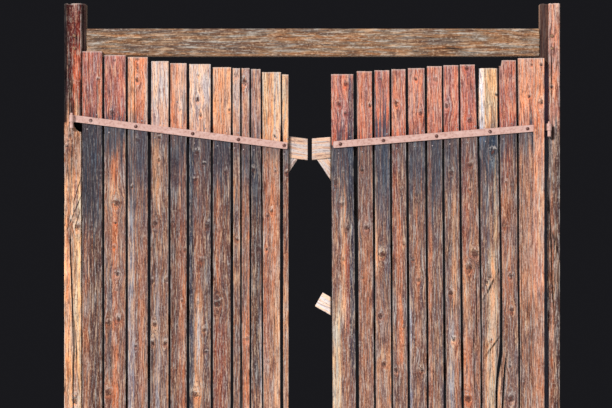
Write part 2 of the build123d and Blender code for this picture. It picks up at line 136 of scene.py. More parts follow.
# Wood tones: the sun-browned upper parts of the boards
ROSE_BROWN = shade(210, 132, 116)
TAN_ROSE = shade(220, 146, 124)
SILVER_BEIGE = shade(252, 218, 198)
HONEY = shade(238, 170, 138)
AMBER = shade(246, 188, 152)
RUSSET = shade(234, 160, 128)
GREIGE = shade(200, 158, 142)
ASH = shade(222, 184, 166)
CREAM = shade(255, 208, 164)
# and the greyer lower parts
SOOT_BROWN = shade(118, 84, 74)
UMBER = shade(130, 91, 80)
DUN = shade(142, 107, 96)
FAWN = shade(156, 113, 98)
WORN_TAN = shade(188, 138, 114)
# frame timber
POST_VIOLET = shade(114, 46, 44)
POST_ORANGE = shade(255, 192, 144)
POST_ROSE = shade(212, 152, 132)
POST_GREY = shade(100, 76, 71)
POST_BROWN = shade(150, 96, 76)
POST_SHADOW = shade(52, 34, 32)
POST_GOLD = shade(255, 210, 162)
# painted shade in the posts' steps behind the leaves' edges
SLOT_SHADOW = shade(62, 68, 84)
SLOT_SHADE_VIOLET = shade(80, 71, 94)
POST_FLAME = shade(230, 122, 86)
# painted shade: in the gouge, on dark places of the posts, on the strap beside the cover strip and on the
# ledges behind the boards
PAINTED_SHADE_BLACK = shade(18, 16, 22)
LINTEL_WOOD = shade(150, 118, 92)
# light on the grain, streaks, stains, checks and bare wood
SUNLIT = shade(255, 237, 215)
ORANGE = shade(216, 140, 104)
PALE_ORANGE = shade(236, 182, 144)
GOLD = shade(255, 208, 156)
CREAM_STREAK = shade(244, 216, 180)
RED_BROWN = shade(176, 92, 74)
VIOLET = shade(116, 82, 90)
BLUE_GREY = shade(102, 100, 108)
PALE_GREY = shade(196, 186, 186)
SLATE = shade(52, 67, 86)
SMOKE = shade(92, 78, 76)
CHECK_BROWN = shade(28, 19, 19)
KNOT_BROWN = shade(96, 56, 48)
KNOT_GREY = shade(62, 46, 46)
INNER_WOOD = shade(128, 100, 78)
LEDGE_WOOD = shade(150, 118, 96)
BLEACHED_WOOD = shade(234, 204, 186)
WHITENED_WOOD = shade(255, 236, 224)
FROSTED_WOOD = shade(255, 248, 250)
SILVERED = shade(222, 208, 200)
PEG_LIGHT = shade(176, 136, 106)
PEG_DARK = shade(110, 80, 62)
# iron and the floor
RUST = shade(220, 180, 170)
RUST_DARK = shade(188, 140, 128)
BOLT_RUST = shade(124, 86, 80)
BOLT_DARK = shade(76, 52, 50)
NAIL_GREY = shade(176, 166, 170)
NAIL_DARK = shade(104, 88, 86)
IRON_BLOOM = shade(240, 206, 200)
PIT_BROWN = shade(128, 84, 76)
FLOOR_SPECK = shade(190, 188, 184)

# How the painted shade in the posts' steps changes with height: start, end and tone
SLOT_TONES = ((2.35, 2.50, SLOT_SHADE_VIOLET), (2.80, 2.88, POST_SHADOW))


class Finish(NamedTuple):
    """How a timber has weathered: its tones above and below the strap, and the stain that the strap sheds."""

    upper: tuple
    lower: tuple
    stain: float
    run: float
    creep: float


# Tone above the strap, tone below it, strength of the stain, how far it runs down and how far it creeps up
FINISHES = {
    "left_board_01": Finish(ROSE_BROWN, SOOT_BROWN, 0.95, 1.10, 0.05),
    "left_board_02": Finish(ROSE_BROWN, FAWN, 1.00, 0.36, 0.12),
    "left_board_03": Finish(RUSSET, FAWN, 0.95, 0.80, 0.06),
    "left_board_04": Finish(SILVER_BEIGE, DUN, 0.50, 0.20, 0.02),
    "left_board_05": Finish(HONEY, UMBER, 0.85, 0.75, 0.03),
    "left_board_06": Finish(SILVER_BEIGE, UMBER, 0.75, 0.65, 0.02),
    "left_board_07": Finish(AMBER, UMBER, 0.90, 0.60, 0.03),
    "left_board_08": Finish(ASH, DUN, 0.50, 0.25, 0.02),
    "left_board_09": Finish(GREIGE, FAWN, 0.85, 0.55, 0.02),
    "left_board_10": Finish(GREIGE, UMBER, 0.72, 0.90, 0.16),
    "left_board_11": Finish(CREAM, WORN_TAN, 0.60, 0.10, 0.02),
    "left_board_12": Finish(CREAM, FAWN, 0.80, 0.35, 0.02),
    "right_board_11": Finish(ROSE_BROWN, FAWN, 0.95, 0.60, 0.14),
    "right_board_10": Finish(TAN_ROSE, FAWN, 0.55, 0.60, 0.06),
    "right_board_09": Finish(ROSE_BROWN, FAWN, 1.00, 0.80, 0.28),
    "right_board_08": Finish(TAN_ROSE, DUN, 0.55, 0.30, 0.03),
    "right_board_07": Finish(TAN_ROSE, DUN, 0.85, 0.60, 0.08),
    "right_board_06": Finish(TAN_ROSE, DUN, 0.95, 0.75, 0.04),
    "right_board_05": Finish(ROSE_BROWN, DUN, 0.80, 0.60, 0.02),
    "right_board_04": Finish(ROSE_BROWN, FAWN, 0.50, 0.45, 0.06),
    "right_board_03": Finish(CREAM, DUN, 1.00, 0.55, 0.03),
    "right_board_02": Finish(ROSE_BROWN, DUN, 0.80, 0.30, 0.08),
    "right_board_01": Finish(HONEY, WORN_TAN, 0.85, 0.20, 0.08),
    "right_cover_strip": Finish(HONEY, HONEY, 0.0, 0.10, 0.0),
    "left_post": Finish(POST_VIOLET, POST_ORANGE, 0.0, 0.10, 0.0),
    "right_post": Finish(POST_ROSE, POST_GREY, 0.0, 0.10, 0.0),
}

# Broad streaks: middle and half width as shares of the face's width from its left edge, lower and upper
# end above the ground, tone and strength
STREAKS = {
    "left_board_01": (
        (0.20, 0.16, 0.0, 1.85, ORANGE, 0.35), (0.82, 0.09, 2.48, 2.90, ORANGE, 0.7),
        (0.40, 0.20, 2.50, 2.90, VIOLET, 0.35),
    ),
    "left_board_02": (
        (0.48, 0.20, 1.95, 2.30, ORANGE, 0.75), (0.50, 0.13, 0.6, 1.95, ORANGE, 0.75),
        (0.27, 0.12, 0.85, 1.60, BLUE_GREY, 0.6), (0.42, 0.20, 2.50, 2.85, VIOLET, 0.4),
        (0.45, 0.26, 1.98, 2.06, CREAM_STREAK, 0.6),
    ),
    "left_board_03": (
        (0.18, 0.16, 0.0, 2.00, PALE_GREY, 0.6), (0.70, 0.14, 0.7, 1.70, ORANGE, 0.4),
        (0.20, 0.16, 2.40, 2.90, PALE_ORANGE, 0.6), (0.95, 0.07, 2.56, 2.90, SILVERED, 0.9),
        (0.55, 0.14, 2.40, 2.70, RED_BROWN, 0.5),
    ),
    "left_board_04": (
        (0.35, 0.22, 1.95, 2.36, PALE_ORANGE, 0.6), (0.40, 0.10, 0.6, 1.50, PALE_GREY, 0.5),
        (0.95, 0.07, 0.7, 1.30, PALE_ORANGE, 0.5),
    ),
    "left_board_05": (
        (0.70, 0.18, 0.4, 2.30, ORANGE, 0.40), (0.25, 0.22, 2.35, 2.65, ORANGE, 0.35),
        (0.74, 0.24, 2.50, 2.95, SILVER_BEIGE, 0.65),
    ),
    "left_board_06": (
        (0.10, 0.13, 0.0, 2.35, SLATE, 0.75), (0.42, 0.20, 0.62, 1.38, PALE_ORANGE, 0.60),
        (0.42, 0.08, 0.95, 1.30, PALE_GREY, 0.9), (0.86, 0.12, 0.8, 1.90, BLUE_GREY, 0.5),
        (0.42, 0.20, 1.40, 2.30, ORANGE, 0.3),
    ),
    "left_board_07": (
        (0.32, 0.12, 1.45, 2.15, ORANGE, 0.55), (0.40, 0.35, 0.0, 1.20, RED_BROWN, 0.35),
        (0.45, 0.20, 2.40, 2.85, ORANGE, 0.25),
    ),
    "left_board_08": (
        (0.85, 0.13, 1.40, 2.20, PALE_ORANGE, 0.5), (0.15, 0.14, 1.50, 2.30, PALE_ORANGE, 0.5),
    ),
    "left_board_09": ((0.60, 0.45, 0.0, 1.25, ORANGE, 0.75), (0.85, 0.10, 1.15, 2.00, ORANGE, 0.4)),
    "left_board_10": ((0.45, 0.40, 0.80, 2.35, SMOKE, 0.6), (0.90, 0.12, 0.0, 1.30, PALE_GREY, 0.6)),
    "left_board_11": (
        (0.42, 0.12, 2.40, 2.90, ORANGE, 0.55), (0.80, 0.16, 2.40, 2.90, SILVERED, 0.45),
        (0.62, 0.15, 1.40, 2.10, ORANGE, 0.6), (0.80, 0.14, 0.6, 1.45, PALE_ORANGE, 0.7),
        (0.20, 0.16, 0.9, 2.20, RED_BROWN, 0.4),
    ),
    "left_board_12": ((0.50, 0.45, 0.3, 1.50, PALE_ORANGE, 0.5), (0.85, 0.12, 2.42, 2.90, ORANGE, 0.4)),
    "right_board_11": (
        (0.88, 0.15, 0.9, 2.85, SLATE, 0.75), (0.50, 0.09, 1.20, 2.12, PALE_ORANGE, 0.85),
        (0.18, 0.18, 0.0, 1.28, CREAM_STREAK, 0.85), (0.66, 0.08, 1.15, 1.75, RED_BROWN, 0.6),
    ),
    "right_board_10": ((0.56, 0.13, 1.35, 2.30, ORANGE, 0.30),),
    "right_board_09": (
        (0.09, 0.10, 1.50, 2.14, PALE_ORANGE, 0.9), (0.62, 0.34, 1.30, 2.35, BLUE_GREY, 0.4),
        (0.50, 0.50, 0.0, 1.00, PALE_ORANGE, 0.35),
    ),
    "right_board_08": (
        (0.25, 0.20, 1.60, 2.30, RED_BROWN, 0.45), (0.50, 0.20, 0.9, 1.88, ORANGE, 0.85),
    ),
    "right_board_07": ((0.52, 0.12, 1.0, 1.90, ORANGE, 0.40), (0.06, 0.08, 0.6, 1.40, PALE_GREY, 0.7)),
    "right_board_06": ((0.14, 0.12, 0.6, 2.40, ORANGE, 0.5), (0.85, 0.12, 0.6, 1.30, BLUE_GREY, 0.4)),
    "right_board_05": (
        (0.36, 0.14, 0.0, 1.25, PALE_GREY, 0.75), (0.62, 0.13, 1.30, 2.00, PALE_ORANGE, 0.6),
        (0.70, 0.12, 0.6, 1.25, ORANGE, 0.35),
    ),
    "right_board_04": (
        (0.30, 0.26, 0.62, 1.12, ORANGE, 0.75), (0.25, 0.22, 1.50, 2.30, RED_BROWN, 0.35),
        (0.25, 0.22, 1.12, 1.62, PALE_ORANGE, 0.5),
    ),
    "right_board_03": (
        (0.66, 0.50, 2.52, 2.95, GOLD, 0.8), (0.00, 0.18, 2.38, 2.95, FROSTED_WOOD, 1.0),
        (0.80, 0.24, 2.20, 2.50, SLATE, 0.8), (0.40, 0.20, 1.50, 2.20, BLUE_GREY, 0.35),
        (0.74, 0.34, 0.0, 1.66, CREAM_STREAK, 0.55), (0.80, 0.16, 0.9, 1.62, PALE_ORANGE, 0.8),
        (0.34, 0.14, 0.0, 1.10, PALE_ORANGE, 0.6), (1.00, 0.10, 1.70, 2.30, CREAM_STREAK, 0.5),
    ),
    "right_board_02": (
        (0.04, 0.16, 0.0, 0.98, PALE_ORANGE, 0.8), (0.45, 0.25, 1.30, 2.15, ORANGE, 0.35),
        (0.45, 0.25, 2.15, 2.40, RED_BROWN, 0.4), (0.50, 0.60, 2.50, 3.00, DUN, 0.25),
    ),
    "right_board_01": (
        (0.80, 0.09, 1.20, 2.30, PALE_ORANGE, 0.9), (0.50, 0.60, 0.0, 1.30, DUN, 0.8),
        (0.52, 0.08, 2.40, 2.58, SLATE, 0.8),
    ),
    "right_cover_strip": (
        (0.65, 0.28, 1.60, 2.20, CREAM_STREAK, 0.4), (0.50, 0.80, 0.0, 1.40, DUN, 0.65),
    ),
    "left_post": (
        (0.74, 0.20, 2.64, 2.94, POST_FLAME, 0.75), (0.74, 0.09, 2.48, 2.68, PALE_ORANGE, 0.9),
        (0.30, 0.22, 2.44, 3.30, POST_SHADOW, 0.25), (0.78, 0.30, 0.0, 2.12, PALE_ORANGE, 0.75),
        (0.90, 0.12, 0.0, 2.05, POST_GOLD, 0.9), (0.76, 0.26, 0.95, 1.76, POST_GOLD, 0.9),
        (0.76, 0.26, 1.82, 1.96, CREAM_STREAK, 0.9), (0.34, 0.34, 2.24, 2.44, BLUE_GREY, 0.6),
        (0.55, 0.60, 2.12, 2.44, POST_BROWN, 0.7), (0.24, 0.10, 1.2, 2.05, RED_BROWN, 0.4),
        (0.70, 0.10, 1.97, 2.20, RED_BROWN, 0.5),
    ),
    "right_post": (
        (0.10, 0.10, 1.90, 2.45, PALE_GREY, 0.4), (0.20, 0.24, 0.0, 2.05, ORANGE, 0.35),
        (0.74, 0.30, 0.0, 2.30, SOOT_BROWN, 0.6), (0.50, 0.60, 2.3, 2.75, VIOLET, 0.25),
    ),
}

# Open cracks: middle as a share of the face's width, half width in metres, lower and upper end, and lean
CRACKS = {
    "left_board_01": ((0.74, 0.0020, 2.45, 2.72, 0.0), (0.52, 0.0012, 1.90, 2.15, 0.0)),
    "left_board_03": ((0.36, 0.0018, 2.38, 2.88, 0.0), (0.83, 0.0016, 0.95, 1.05, 0.0)),
    "left_board_05": ((0.27, 0.0018, 1.16, 1.24, 0.0),),
    "left_board_06": ((0.15, 0.0015, 1.50, 1.95, 0.0),),
    "left_board_09": ((0.10, 0.0018, 0.60, 1.05, 0.0),),
    "right_board_06": ((0.22, 0.0015, 1.15, 1.32, 0.0),),
    "right_board_04": ((0.88, 0.0024, 1.15, 1.60, 0.0), (0.68, 0.0020, 0.80, 1.12, 0.0)),
    "right_board_03": ((0.43, 0.0070, 1.40, 1.50, 0.54), (0.50, 0.0070, 1.01, 1.10, 0.70)),
    "right_board_01": ((0.16, 0.0016, 0.60, 2.30, 0.0),),
    "left_post": (
        (0.575, 0.0042, 1.04, 1.78, -0.033), (0.52, 0.0032, 0.80, 1.04, 0.030),
        (0.60, 0.0038, 0.0, 0.84, -0.011), (0.69, 0.0026, 1.03, 1.16, -0.060),
        (0.30, 0.0022, 2.44, 2.86, 0.0), (0.62, 0.0026, 2.00, 2.15, 0.30),
        (0.42, 0.0030, 1.86, 2.01, 0.42), (0.55, 0.0024, 1.78, 1.92, 0.30),
        (0.40, 0.0022, 2.08, 2.36, 0.05),
    ),
    "right_post": (
        (0.20, 0.0030, 2.66, 2.93, 0.0), (0.35, 0.0034, 1.32, 2.02, -0.038),
        (0.12, 0.0026, 2.18, 2.44, -0.03),
    ),
}

# Where boards' edges bow out (+) or in (-): the side (-1 is left), heights, and offsets in metres
STRAP_STEP = (2.33, 2.47)
SPLIT_HEIGHTS = (0.0, 0.65, 0.744, 0.828, 0.914, 0.999, 1.054, 1.54, 2.10, 2.44, 2.80)
JOINT_HEIGHTS = (0.0, 0.65, 1.08, 1.54, 2.18, 2.44, 2.68, 2.84)
EDGES = {
    "left_board_04": ((1, STRAP_STEP, (-0.002, 0.0)),),
    "left_board_05": ((-1, STRAP_STEP, (-0.002, 0.0)),),
    "left_board_07": ((1, STRAP_STEP, (-0.004, 0.0)),),
    "left_board_08": ((-1, STRAP_STEP, (-0.004, 0.0)),),
    "left_board_11": ((1, STRAP_STEP, (-0.003, 0.004)),),
    "left_board_12": ((-1, STRAP_STEP, (-0.003, 0.004)),),
    "right_board_11": ((1, STRAP_STEP, (-0.002, 0.002)),),
    "right_board_10": ((-1, STRAP_STEP, (-0.002, 0.002)),),
    "right_board_06": ((1, STRAP_STEP, (-0.004, -0.0015)),),
    "right_board_05": ((-1, STRAP_STEP, (-0.004, -0.0015)), (1, STRAP_STEP, (-0.004, -0.002))),
    "right_board_04": (
        (-1, STRAP_STEP, (-0.004, -0.002)),
        (1, JOINT_HEIGHTS, (0.0, 0.007, 0.016, 0.015, 0.013, 0.011, 0.006, 0.0)),
    ),
    "right_board_03": (
        (-1, JOINT_HEIGHTS, (0.0, -0.002, -0.004, -0.003, 0.001, 0.005, 0.007, 0.0)),
        (1, SPLIT_HEIGHTS, (-0.001, -0.005, -0.008, -0.003, 0.010, 0.029, 0.035, 0.033, 0.016, 0.0055, 0.0)),
    ),
    "right_board_02": (
        (
            -1, SPLIT_HEIGHTS,
            (0.002, 0.004, 0.004, -0.002, -0.018, -0.031, -0.032, -0.027, -0.013, -0.006, 0.0),
        ),
        (1, JOINT_HEIGHTS, (0.005, 0.014, 0.015, 0.009, 0.008, 0.006, 0.002, 0.0)),
    ),
    "right_board_01": ((-1, JOINT_HEIGHTS, (-0.006, -0.015, -0.016, -0.010, -0.008, -0.006, -0.002, 0.0)),),
}

# Nails away from the rows, as board, x and z
ODD_NAILS = (("left_board_05", -0.872, 2.622),)

# Radii of knots, then each board's knots as (x, z, radius)
SMALL, MIDDLING, LARGE = 0.008, 0.012, 0.017
KNOTS = {
    "left_board_01": ((-1.382, 2.766, SMALL),),
    "left_board_02": (
        (-1.273, 2.889, SMALL), (-1.289, 2.551, MIDDLING), (-1.262, 1.970, LARGE),
        (-1.267, 1.841, SMALL), (-1.278, 1.686, SMALL), (-1.258, 1.512, MIDDLING),
        (-1.258, 1.409, SMALL), (-1.251, 1.222, MIDDLING), (-1.312, 1.196, MIDDLING),
        (-1.316, 0.746, LARGE),
    ),
    "left_board_03": (
        (-1.128, 2.899, MIDDLING), (-1.128, 2.766, MIDDLING), (-1.128, 2.376, MIDDLING),
        (-1.160, 2.072, SMALL), (-1.138, 1.047, SMALL),
    ),
    "left_board_04": (
        (-0.984, 2.392, SMALL), (-0.989, 2.248, SMALL), (-1.010, 1.841, MIDDLING),
        (-1.033, 1.468, MIDDLING), (-0.938, 1.468, MIDDLING), (-1.013, 1.190, MIDDLING),
        (-1.032, 1.067, MIDDLING), (-0.946, 1.067, MIDDLING),
    ),
    "left_board_05": (
        (-0.853, 2.573, MIDDLING), (-0.898, 1.847, SMALL), (-0.819, 1.670, SMALL),
        (-0.841, 1.340, SMALL),
    ),
    "left_board_06": (
        (-0.732, 2.792, SMALL), (-0.738, 2.637, MIDDLING), (-0.719, 2.535, SMALL),
        (-0.743, 2.301, MIDDLING), (-0.697, 2.221, SMALL), (-0.753, 2.119, MIDDLING),
        (-0.673, 1.825, MIDDLING), (-0.716, 1.602, MIDDLING), (-0.732, 1.322, MIDDLING),
        (-0.695, 1.152, MIDDLING), (-0.684, 1.009, SMALL), (-0.753, 0.736, LARGE),
    ),
    "left_board_07": (
        (-0.535, 2.569, SMALL), (-0.615, 1.794, MIDDLING), (-0.556, 2.173, SMALL),
        (-0.611, 1.318, LARGE),
    ),
    "left_board_08": ((-0.493, 2.795, MIDDLING), (-0.481, 1.734, SMALL)),
    "left_board_09": ((-0.439, 2.755, LARGE), (-0.422, 1.090, MIDDLING)),
    "left_board_10": ((-0.379, 2.184, MIDDLING), (-0.340, 1.675, MIDDLING)),
    "left_board_11": (
        (-0.240, 2.402, SMALL), (-0.235, 2.175, SMALL), (-0.262, 1.916, MIDDLING),
        (-0.288, 1.886, SMALL), (-0.293, 1.670, SMALL), (-0.281, 0.944, SMALL),
    ),
    "left_board_12": ((-0.165, 2.168, SMALL),),
    "right_board_11": (
        (0.217, 2.735, MIDDLING), (0.172, 2.607, MIDDLING), (0.213, 2.551, SMALL),
        (0.200, 2.168, SMALL), (0.156, 2.107, MIDDLING), (0.192, 1.963, MIDDLING),
        (0.233, 1.807, MIDDLING), (0.204, 1.602, MIDDLING),
    ),
    "right_board_10": (
        (0.372, 2.602, SMALL), (0.323, 2.179, SMALL), (0.353, 1.813, MIDDLING), (0.329, 1.486, SMALL),
    ),
    "right_board_09": (
        (0.444, 2.768, SMALL), (0.453, 1.641, LARGE), (0.444, 1.241, MIDDLING),
        (0.464, 0.931, MIDDLING),
    ),
    "right_board_08": (
        (0.542, 2.609, MIDDLING), (0.575, 2.057, SMALL), (0.595, 1.713, MIDDLING),
        (0.587, 1.170, SMALL), (0.542, 0.892, MIDDLING),
    ),
    "right_board_07": (
        (0.669, 2.768, SMALL), (0.700, 2.551, MIDDLING), (0.678, 2.024, MIDDLING),
        (0.650, 1.602, SMALL), (0.690, 1.473, MIDDLING), (0.706, 0.892, MIDDLING),
    ),
    "right_board_06": ((0.795, 2.766, MIDDLING),),
    "right_board_05": (
        (0.867, 2.592, MIDDLING), (0.898, 2.168, MIDDLING), (0.897, 1.389, MIDDLING),
        (0.913, 1.086, MIDDLING),
    ),
    "right_board_04": (
        (0.997, 2.840, MIDDLING), (1.017, 2.496, MIDDLING), (1.022, 2.219, MIDDLING),
        (1.017, 2.057, SMALL), (1.050, 1.646, LARGE), (1.015, 1.557, LARGE), (1.007, 0.712, LARGE),
    ),
    "right_board_03": (
        (1.189, 2.668, SMALL), (1.167, 2.296, LARGE), (1.148, 1.492, SMALL), (1.129, 1.457, SMALL),
        (1.109, 1.421, SMALL), (1.155, 1.086, SMALL), (1.132, 1.057, SMALL),
    ),
    "right_board_02": (
        (1.255, 2.102, SMALL), (1.238, 1.830, MIDDLING), (1.281, 1.499, MIDDLING),
        (1.286, 1.279, MIDDLING), (1.277, 0.915, SMALL), (1.282, 0.712, LARGE),
    ),
    "right_board_01": ((1.398, 2.657, SMALL), (1.416, 2.862, SMALL)),
    "right_cover_strip": ((1.474, 2.862, SMALL), (1.474, 2.618, MIDDLING)),
    "left_post": (
        (-1.560, 2.405, MIDDLING), (-1.584, 2.337, SMALL), (-1.509, 1.815, LARGE),
        (-1.556, 1.858, SMALL), (-1.531, 0.700, LARGE),
    ),
    "right_post": ((1.546, 2.715, SMALL), (1.549, 1.425, SMALL)),
}


def metres(name, default, description):
    """A length for the panel, in metres."""
    return FloatProperty(name=name, description=description, default=default, unit="LENGTH")


def tint(name, default, description):
    """A colour for the panel."""
    return FloatVectorProperty(name=name, description=description, default=default, subtype="COLOR", size=3)


class DoorBoards(PropertyGroup):
    """Sizes of the boards' weathering."""

    across_step: metres("Across step", 0.005, "Width of a board's mesh cells")
    along_step: metres("Along step", 0.010, "Length of a board's mesh cells")
    arris: metres("Arris", 0.0025, "Radius of the worn edges")
    grain_depth: metres("Grain depth", 0.0014, "Depth of the raised grain")
    ragged_ends: metres("Ragged ends", 0.004, "How uneven the sawn ends are")
    cup: metres("Cup", 0.0018, "How far a board's face is hollowed or tilted")
    wave: metres("Edge wave", 0.0030, "How far the long edges wander")
    knot_lift: FloatProperty(
        name="Knot lift", description="How far a knot stands proud, as a share of its radius", default=0.16
    )


class DoorFrame(PropertyGroup):
    """Sizes of the posts', lintel's, ledges' and braces' weathering."""

    across_step: metres("Across step", 0.007, "Width of the mesh cells")
    along_step: metres("Along step", 0.018, "Length of the mesh cells")
    arris: metres("Arris", 0.005, "Radius of the worn edges")
    grain_depth: metres("Grain depth", 0.0022, "Depth of the raised grain")
    check_depth: metres("Check depth", 0.010, "Depth of the drying checks")
    gouge_depth: metres("Gouge depth", 0.040, "Depth of the gouge beside the upper left hinge")


class DoorNails(PropertyGroup):
    """Sizes of the board nails."""

    head_radius: metres("Head radius", 0.0048, "Radius of a nail's head")
    head_height: metres("Head height", 0.0018, "How far a head stands proud")
    seed: IntProperty(name="Seed", description="Seed of the nails' random turn", default=7)


class DoorStage(PropertyGroup):
    """Camera, lights and floor."""

    camera_distance: metres("Camera distance", 14.0, "From the boards to the camera")
    view_width: metres("View width", 3.947, "Width seen at the boards' face")
    view_centre: FloatVectorProperty(
        name="View centre", description="Middle of the view, across and up",
        default=(-0.039, 1.963), size=2, unit="LENGTH",
    )
    key_strength: FloatProperty(name="Key strength", description="Strength of the key light", default=3.0)
    fill_strength: FloatProperty(name="Fill strength", description="Strength of the soft light", default=0.42)
    floor_colour: tint("Floor colour", (0.72, 0.71, 0.69), "Colour of the floor")
    backdrop_colour: tint("Backdrop colour", (0.010, 0.010, 0.012), "Colour behind the door")


class Field:
    """A node's output. Arithmetic with it adds the nodes that work it out."""

    def __init__(self, graph, socket):
        self.graph = graph
        self.socket = socket

    def __add__(self, other):
        return self.graph.math("ADD", self, other)

    def __radd__(self, other):
        return self.graph.math("ADD", other, self)

    def __sub__(self, other):
        return self.graph.math("SUBTRACT", self, other)

    def __rsub__(self, other):
        return self.graph.math("SUBTRACT", other, self)

    def __mul__(self, other):
        return self.graph.math("MULTIPLY", self, other)

    def __truediv__(self, other):
        return self.graph.math("DIVIDE", self, other)

    def __abs__(self):
        return self.graph.math("ABSOLUTE", self)


class Graph:
    """Short calls that build a node tree."""

    def __init__(self, tree):
        self.tree = tree

    def feed(self, socket, value):
        if isinstance(value, Field):
            self.tree.links.new(value.socket, socket)
        else:
            socket.default_value = value

    def add(self, kind, *inputs, output=0, **given):
        """Adds a node and gives one of its outputs."""
        return Field(self, self.node(kind, *inputs, **given).outputs[output])

    def node(self, kind, *inputs, named=None, **settings):
        """Adds a node with these settings. Its inputs are fed in order, or by name or number."""
        node = self.tree.nodes.new(kind)
        for name, value in settings.items():
            setattr(node, name, value)
        for socket, value in zip(node.inputs, inputs):
            self.feed(socket, value)
        for name, value in (named or {}).items():
            self.feed(node.inputs[name], value)
        return node

    def close(self, *values):
        """Feeds a node group's outputs and returns the finished group."""
        self.node("NodeGroupOutput", *values)
        return self.tree

    def math(self, operation, *values):
        return self.add("ShaderNodeMath", *values, operation=operation)

    def swing(self, value, reach):
        """Turns a noise between 0 and 1 into a swing about zero, this long from end to end."""
        return (value - 0.5) * reach

    def scaled(self, vector, factors):
        return self.add("ShaderNodeVectorMath", vector, factors, operation="MULTIPLY")

    def moved(self, vector, offset):
        return self.add("ShaderNodeVectorMath", vector, offset, operation="ADD")

    def combine(self, x, y, z):
        return self.add("ShaderNodeCombineXYZ", x, y, z)

    def separate(self, vector):
        return [Field(self, socket) for socket in self.node("ShaderNodeSeparateXYZ", vector).outputs]

    def place(self):
        """Where the point lies on its object."""
        return self.add("ShaderNodeTexCoord", output="Object")

    def vector(self, name):
        return self.add("ShaderNodeAttribute", output="Vector", attribute_name=name)

    def number(self, name):
        return self.add("ShaderNodeAttribute", output="Fac", attribute_name=name)

    def noise(self, vector, scale, detail=2.0, roughness=0.55):
        named = {"Vector": self.scaled(vector, scale), "Scale": 1.0, "Detail": detail, "Roughness": roughness}
        return self.add("ShaderNodeTexNoise", named=named)

    def smooth(self, value, low, high):
        """0 below low and 1 above high, with a soft step between; high may be the lower one."""
        named = {"Value": value, "From Min": low, "From Max": high}
        return self.add("ShaderNodeMapRange", named=named, interpolation_type="SMOOTHSTEP")

    def mix(self, factor, first, second):
        named = {0: factor, 6: first, 7: second}
        return self.add("ShaderNodeMix", named=named, output=2, data_type="RGBA", clamp_factor=True)

    def paint(self, colour, tone, mask, strength):
        """Lays a tone over a colour where the mask is, at this strength."""
        return self.mix(mask * strength, colour, tone)


def fields(graph, node):
    """A node's outputs by name."""
    return {socket.name: Field(graph, socket) for socket in node.outputs if socket.name}


def new_group(name, family, inputs, outputs):
    """Starts a node group, with inputs as (name, kind, default) and outputs as (name, kind)."""
    tree = bpy.data.node_groups.new(name, family + "NodeTree")
    for label, kind, default in inputs:
        socket = tree.interface.new_socket(label, in_out="INPUT", socket_type="NodeSocket" + kind)
        if default is not None:
            socket.default_value = default
    for label, kind in outputs:
        tree.interface.new_socket(label, in_out="OUTPUT", socket_type="NodeSocket" + kind)
    graph = Graph(tree)
    return graph, fields(graph, graph.node("NodeGroupInput"))


def knot_group():
    """The nearest knot, read from the mesh: its push on the grain, its core, its ring, a painted highlight
    above it, its halo below it and its bulge.
    """
    names = ("Shift", "Core", "Ring", "Above", "Below", "Bulge")
    graph, _ = new_group("Knot", "Shader", [], [(name, "Float") for name in names])
    place = graph.place()
    wobble = graph.noise(place, (80.0, 80.0, 50.0), 3.0) - 0.5
    bob = graph.swing(graph.noise(place, (52.0, 52.0, 64.0), 3.0), 3.4)
    across, along, nearness = graph.separate(graph.vector("knot"))
    radius = graph.number("knot_radius")
    across = across + wobble * 3.0
    along = (along + bob) / KNOT_STRETCH
    square, rise = across * across, along * along
    reach = graph.math("SQRT", square + rise)
    fade = graph.math("EXPONENT", rise * -0.09) * nearness
    push = across / (1.0 + square * 0.45)
    shift = push * fade * (radius * -1.3)
    core = graph.smooth(reach, 0.80, 0.35) * nearness
    rim = abs(reach - 0.85)
    ring = graph.smooth(rim, 0.34, 0.10) * nearness
    halo = graph.smooth(reach, 3.0, 0.8) * nearness
    # A painted highlight on the knot's upper side
    above = graph.smooth(reach, 2.8, 1.0) * graph.smooth(along, 0.3, 1.2)
    above = above * nearness * graph.smooth(wobble, 0.06, -0.06)
    below = halo * graph.smooth(along, -0.2, -1.1)
    bulge = graph.math("EXPONENT", reach * -1.1) * nearness
    return graph.close(shift, core, ring, above, below, bulge)


def streak_group():
    """A long upright streak: 1 along its middle, with soft sides and ragged ends."""
    names = ("Middle", "Half", "Foot", "Head", "Softness", "Lean")
    inputs = [(name, "Float", 0.0) for name in names]
    graph, given = new_group("Streak", "Shader", inputs, [("Mask", "Float")])
    across, depth, along = graph.separate(graph.vector("timber"))
    height = graph.separate(graph.place())[2]
    seed = given["Middle"] * 91.0
    drift = graph.swing(graph.noise(graph.combine(seed, depth, along), (1.0, 6.0, 2.6), 3.0), 0.022)
    lean = (height - given["Foot"]) * given["Lean"]
    from_middle = across + drift - (given["Middle"] + lean)
    share = abs(from_middle) / given["Half"]
    side = graph.smooth(share, 1.0 + given["Softness"], 1.0 - given["Softness"])
    ragged = graph.noise(graph.combine(across, depth, seed), (140.0, 60.0, 1.0), 2.0)
    ragged = height + graph.swing(ragged, 0.6)
    foot = graph.smooth(ragged - given["Foot"], -0.05, 0.05)
    head = graph.smooth(ragged - given["Head"], 0.05, -0.05)
    return graph.close(side * foot * head)


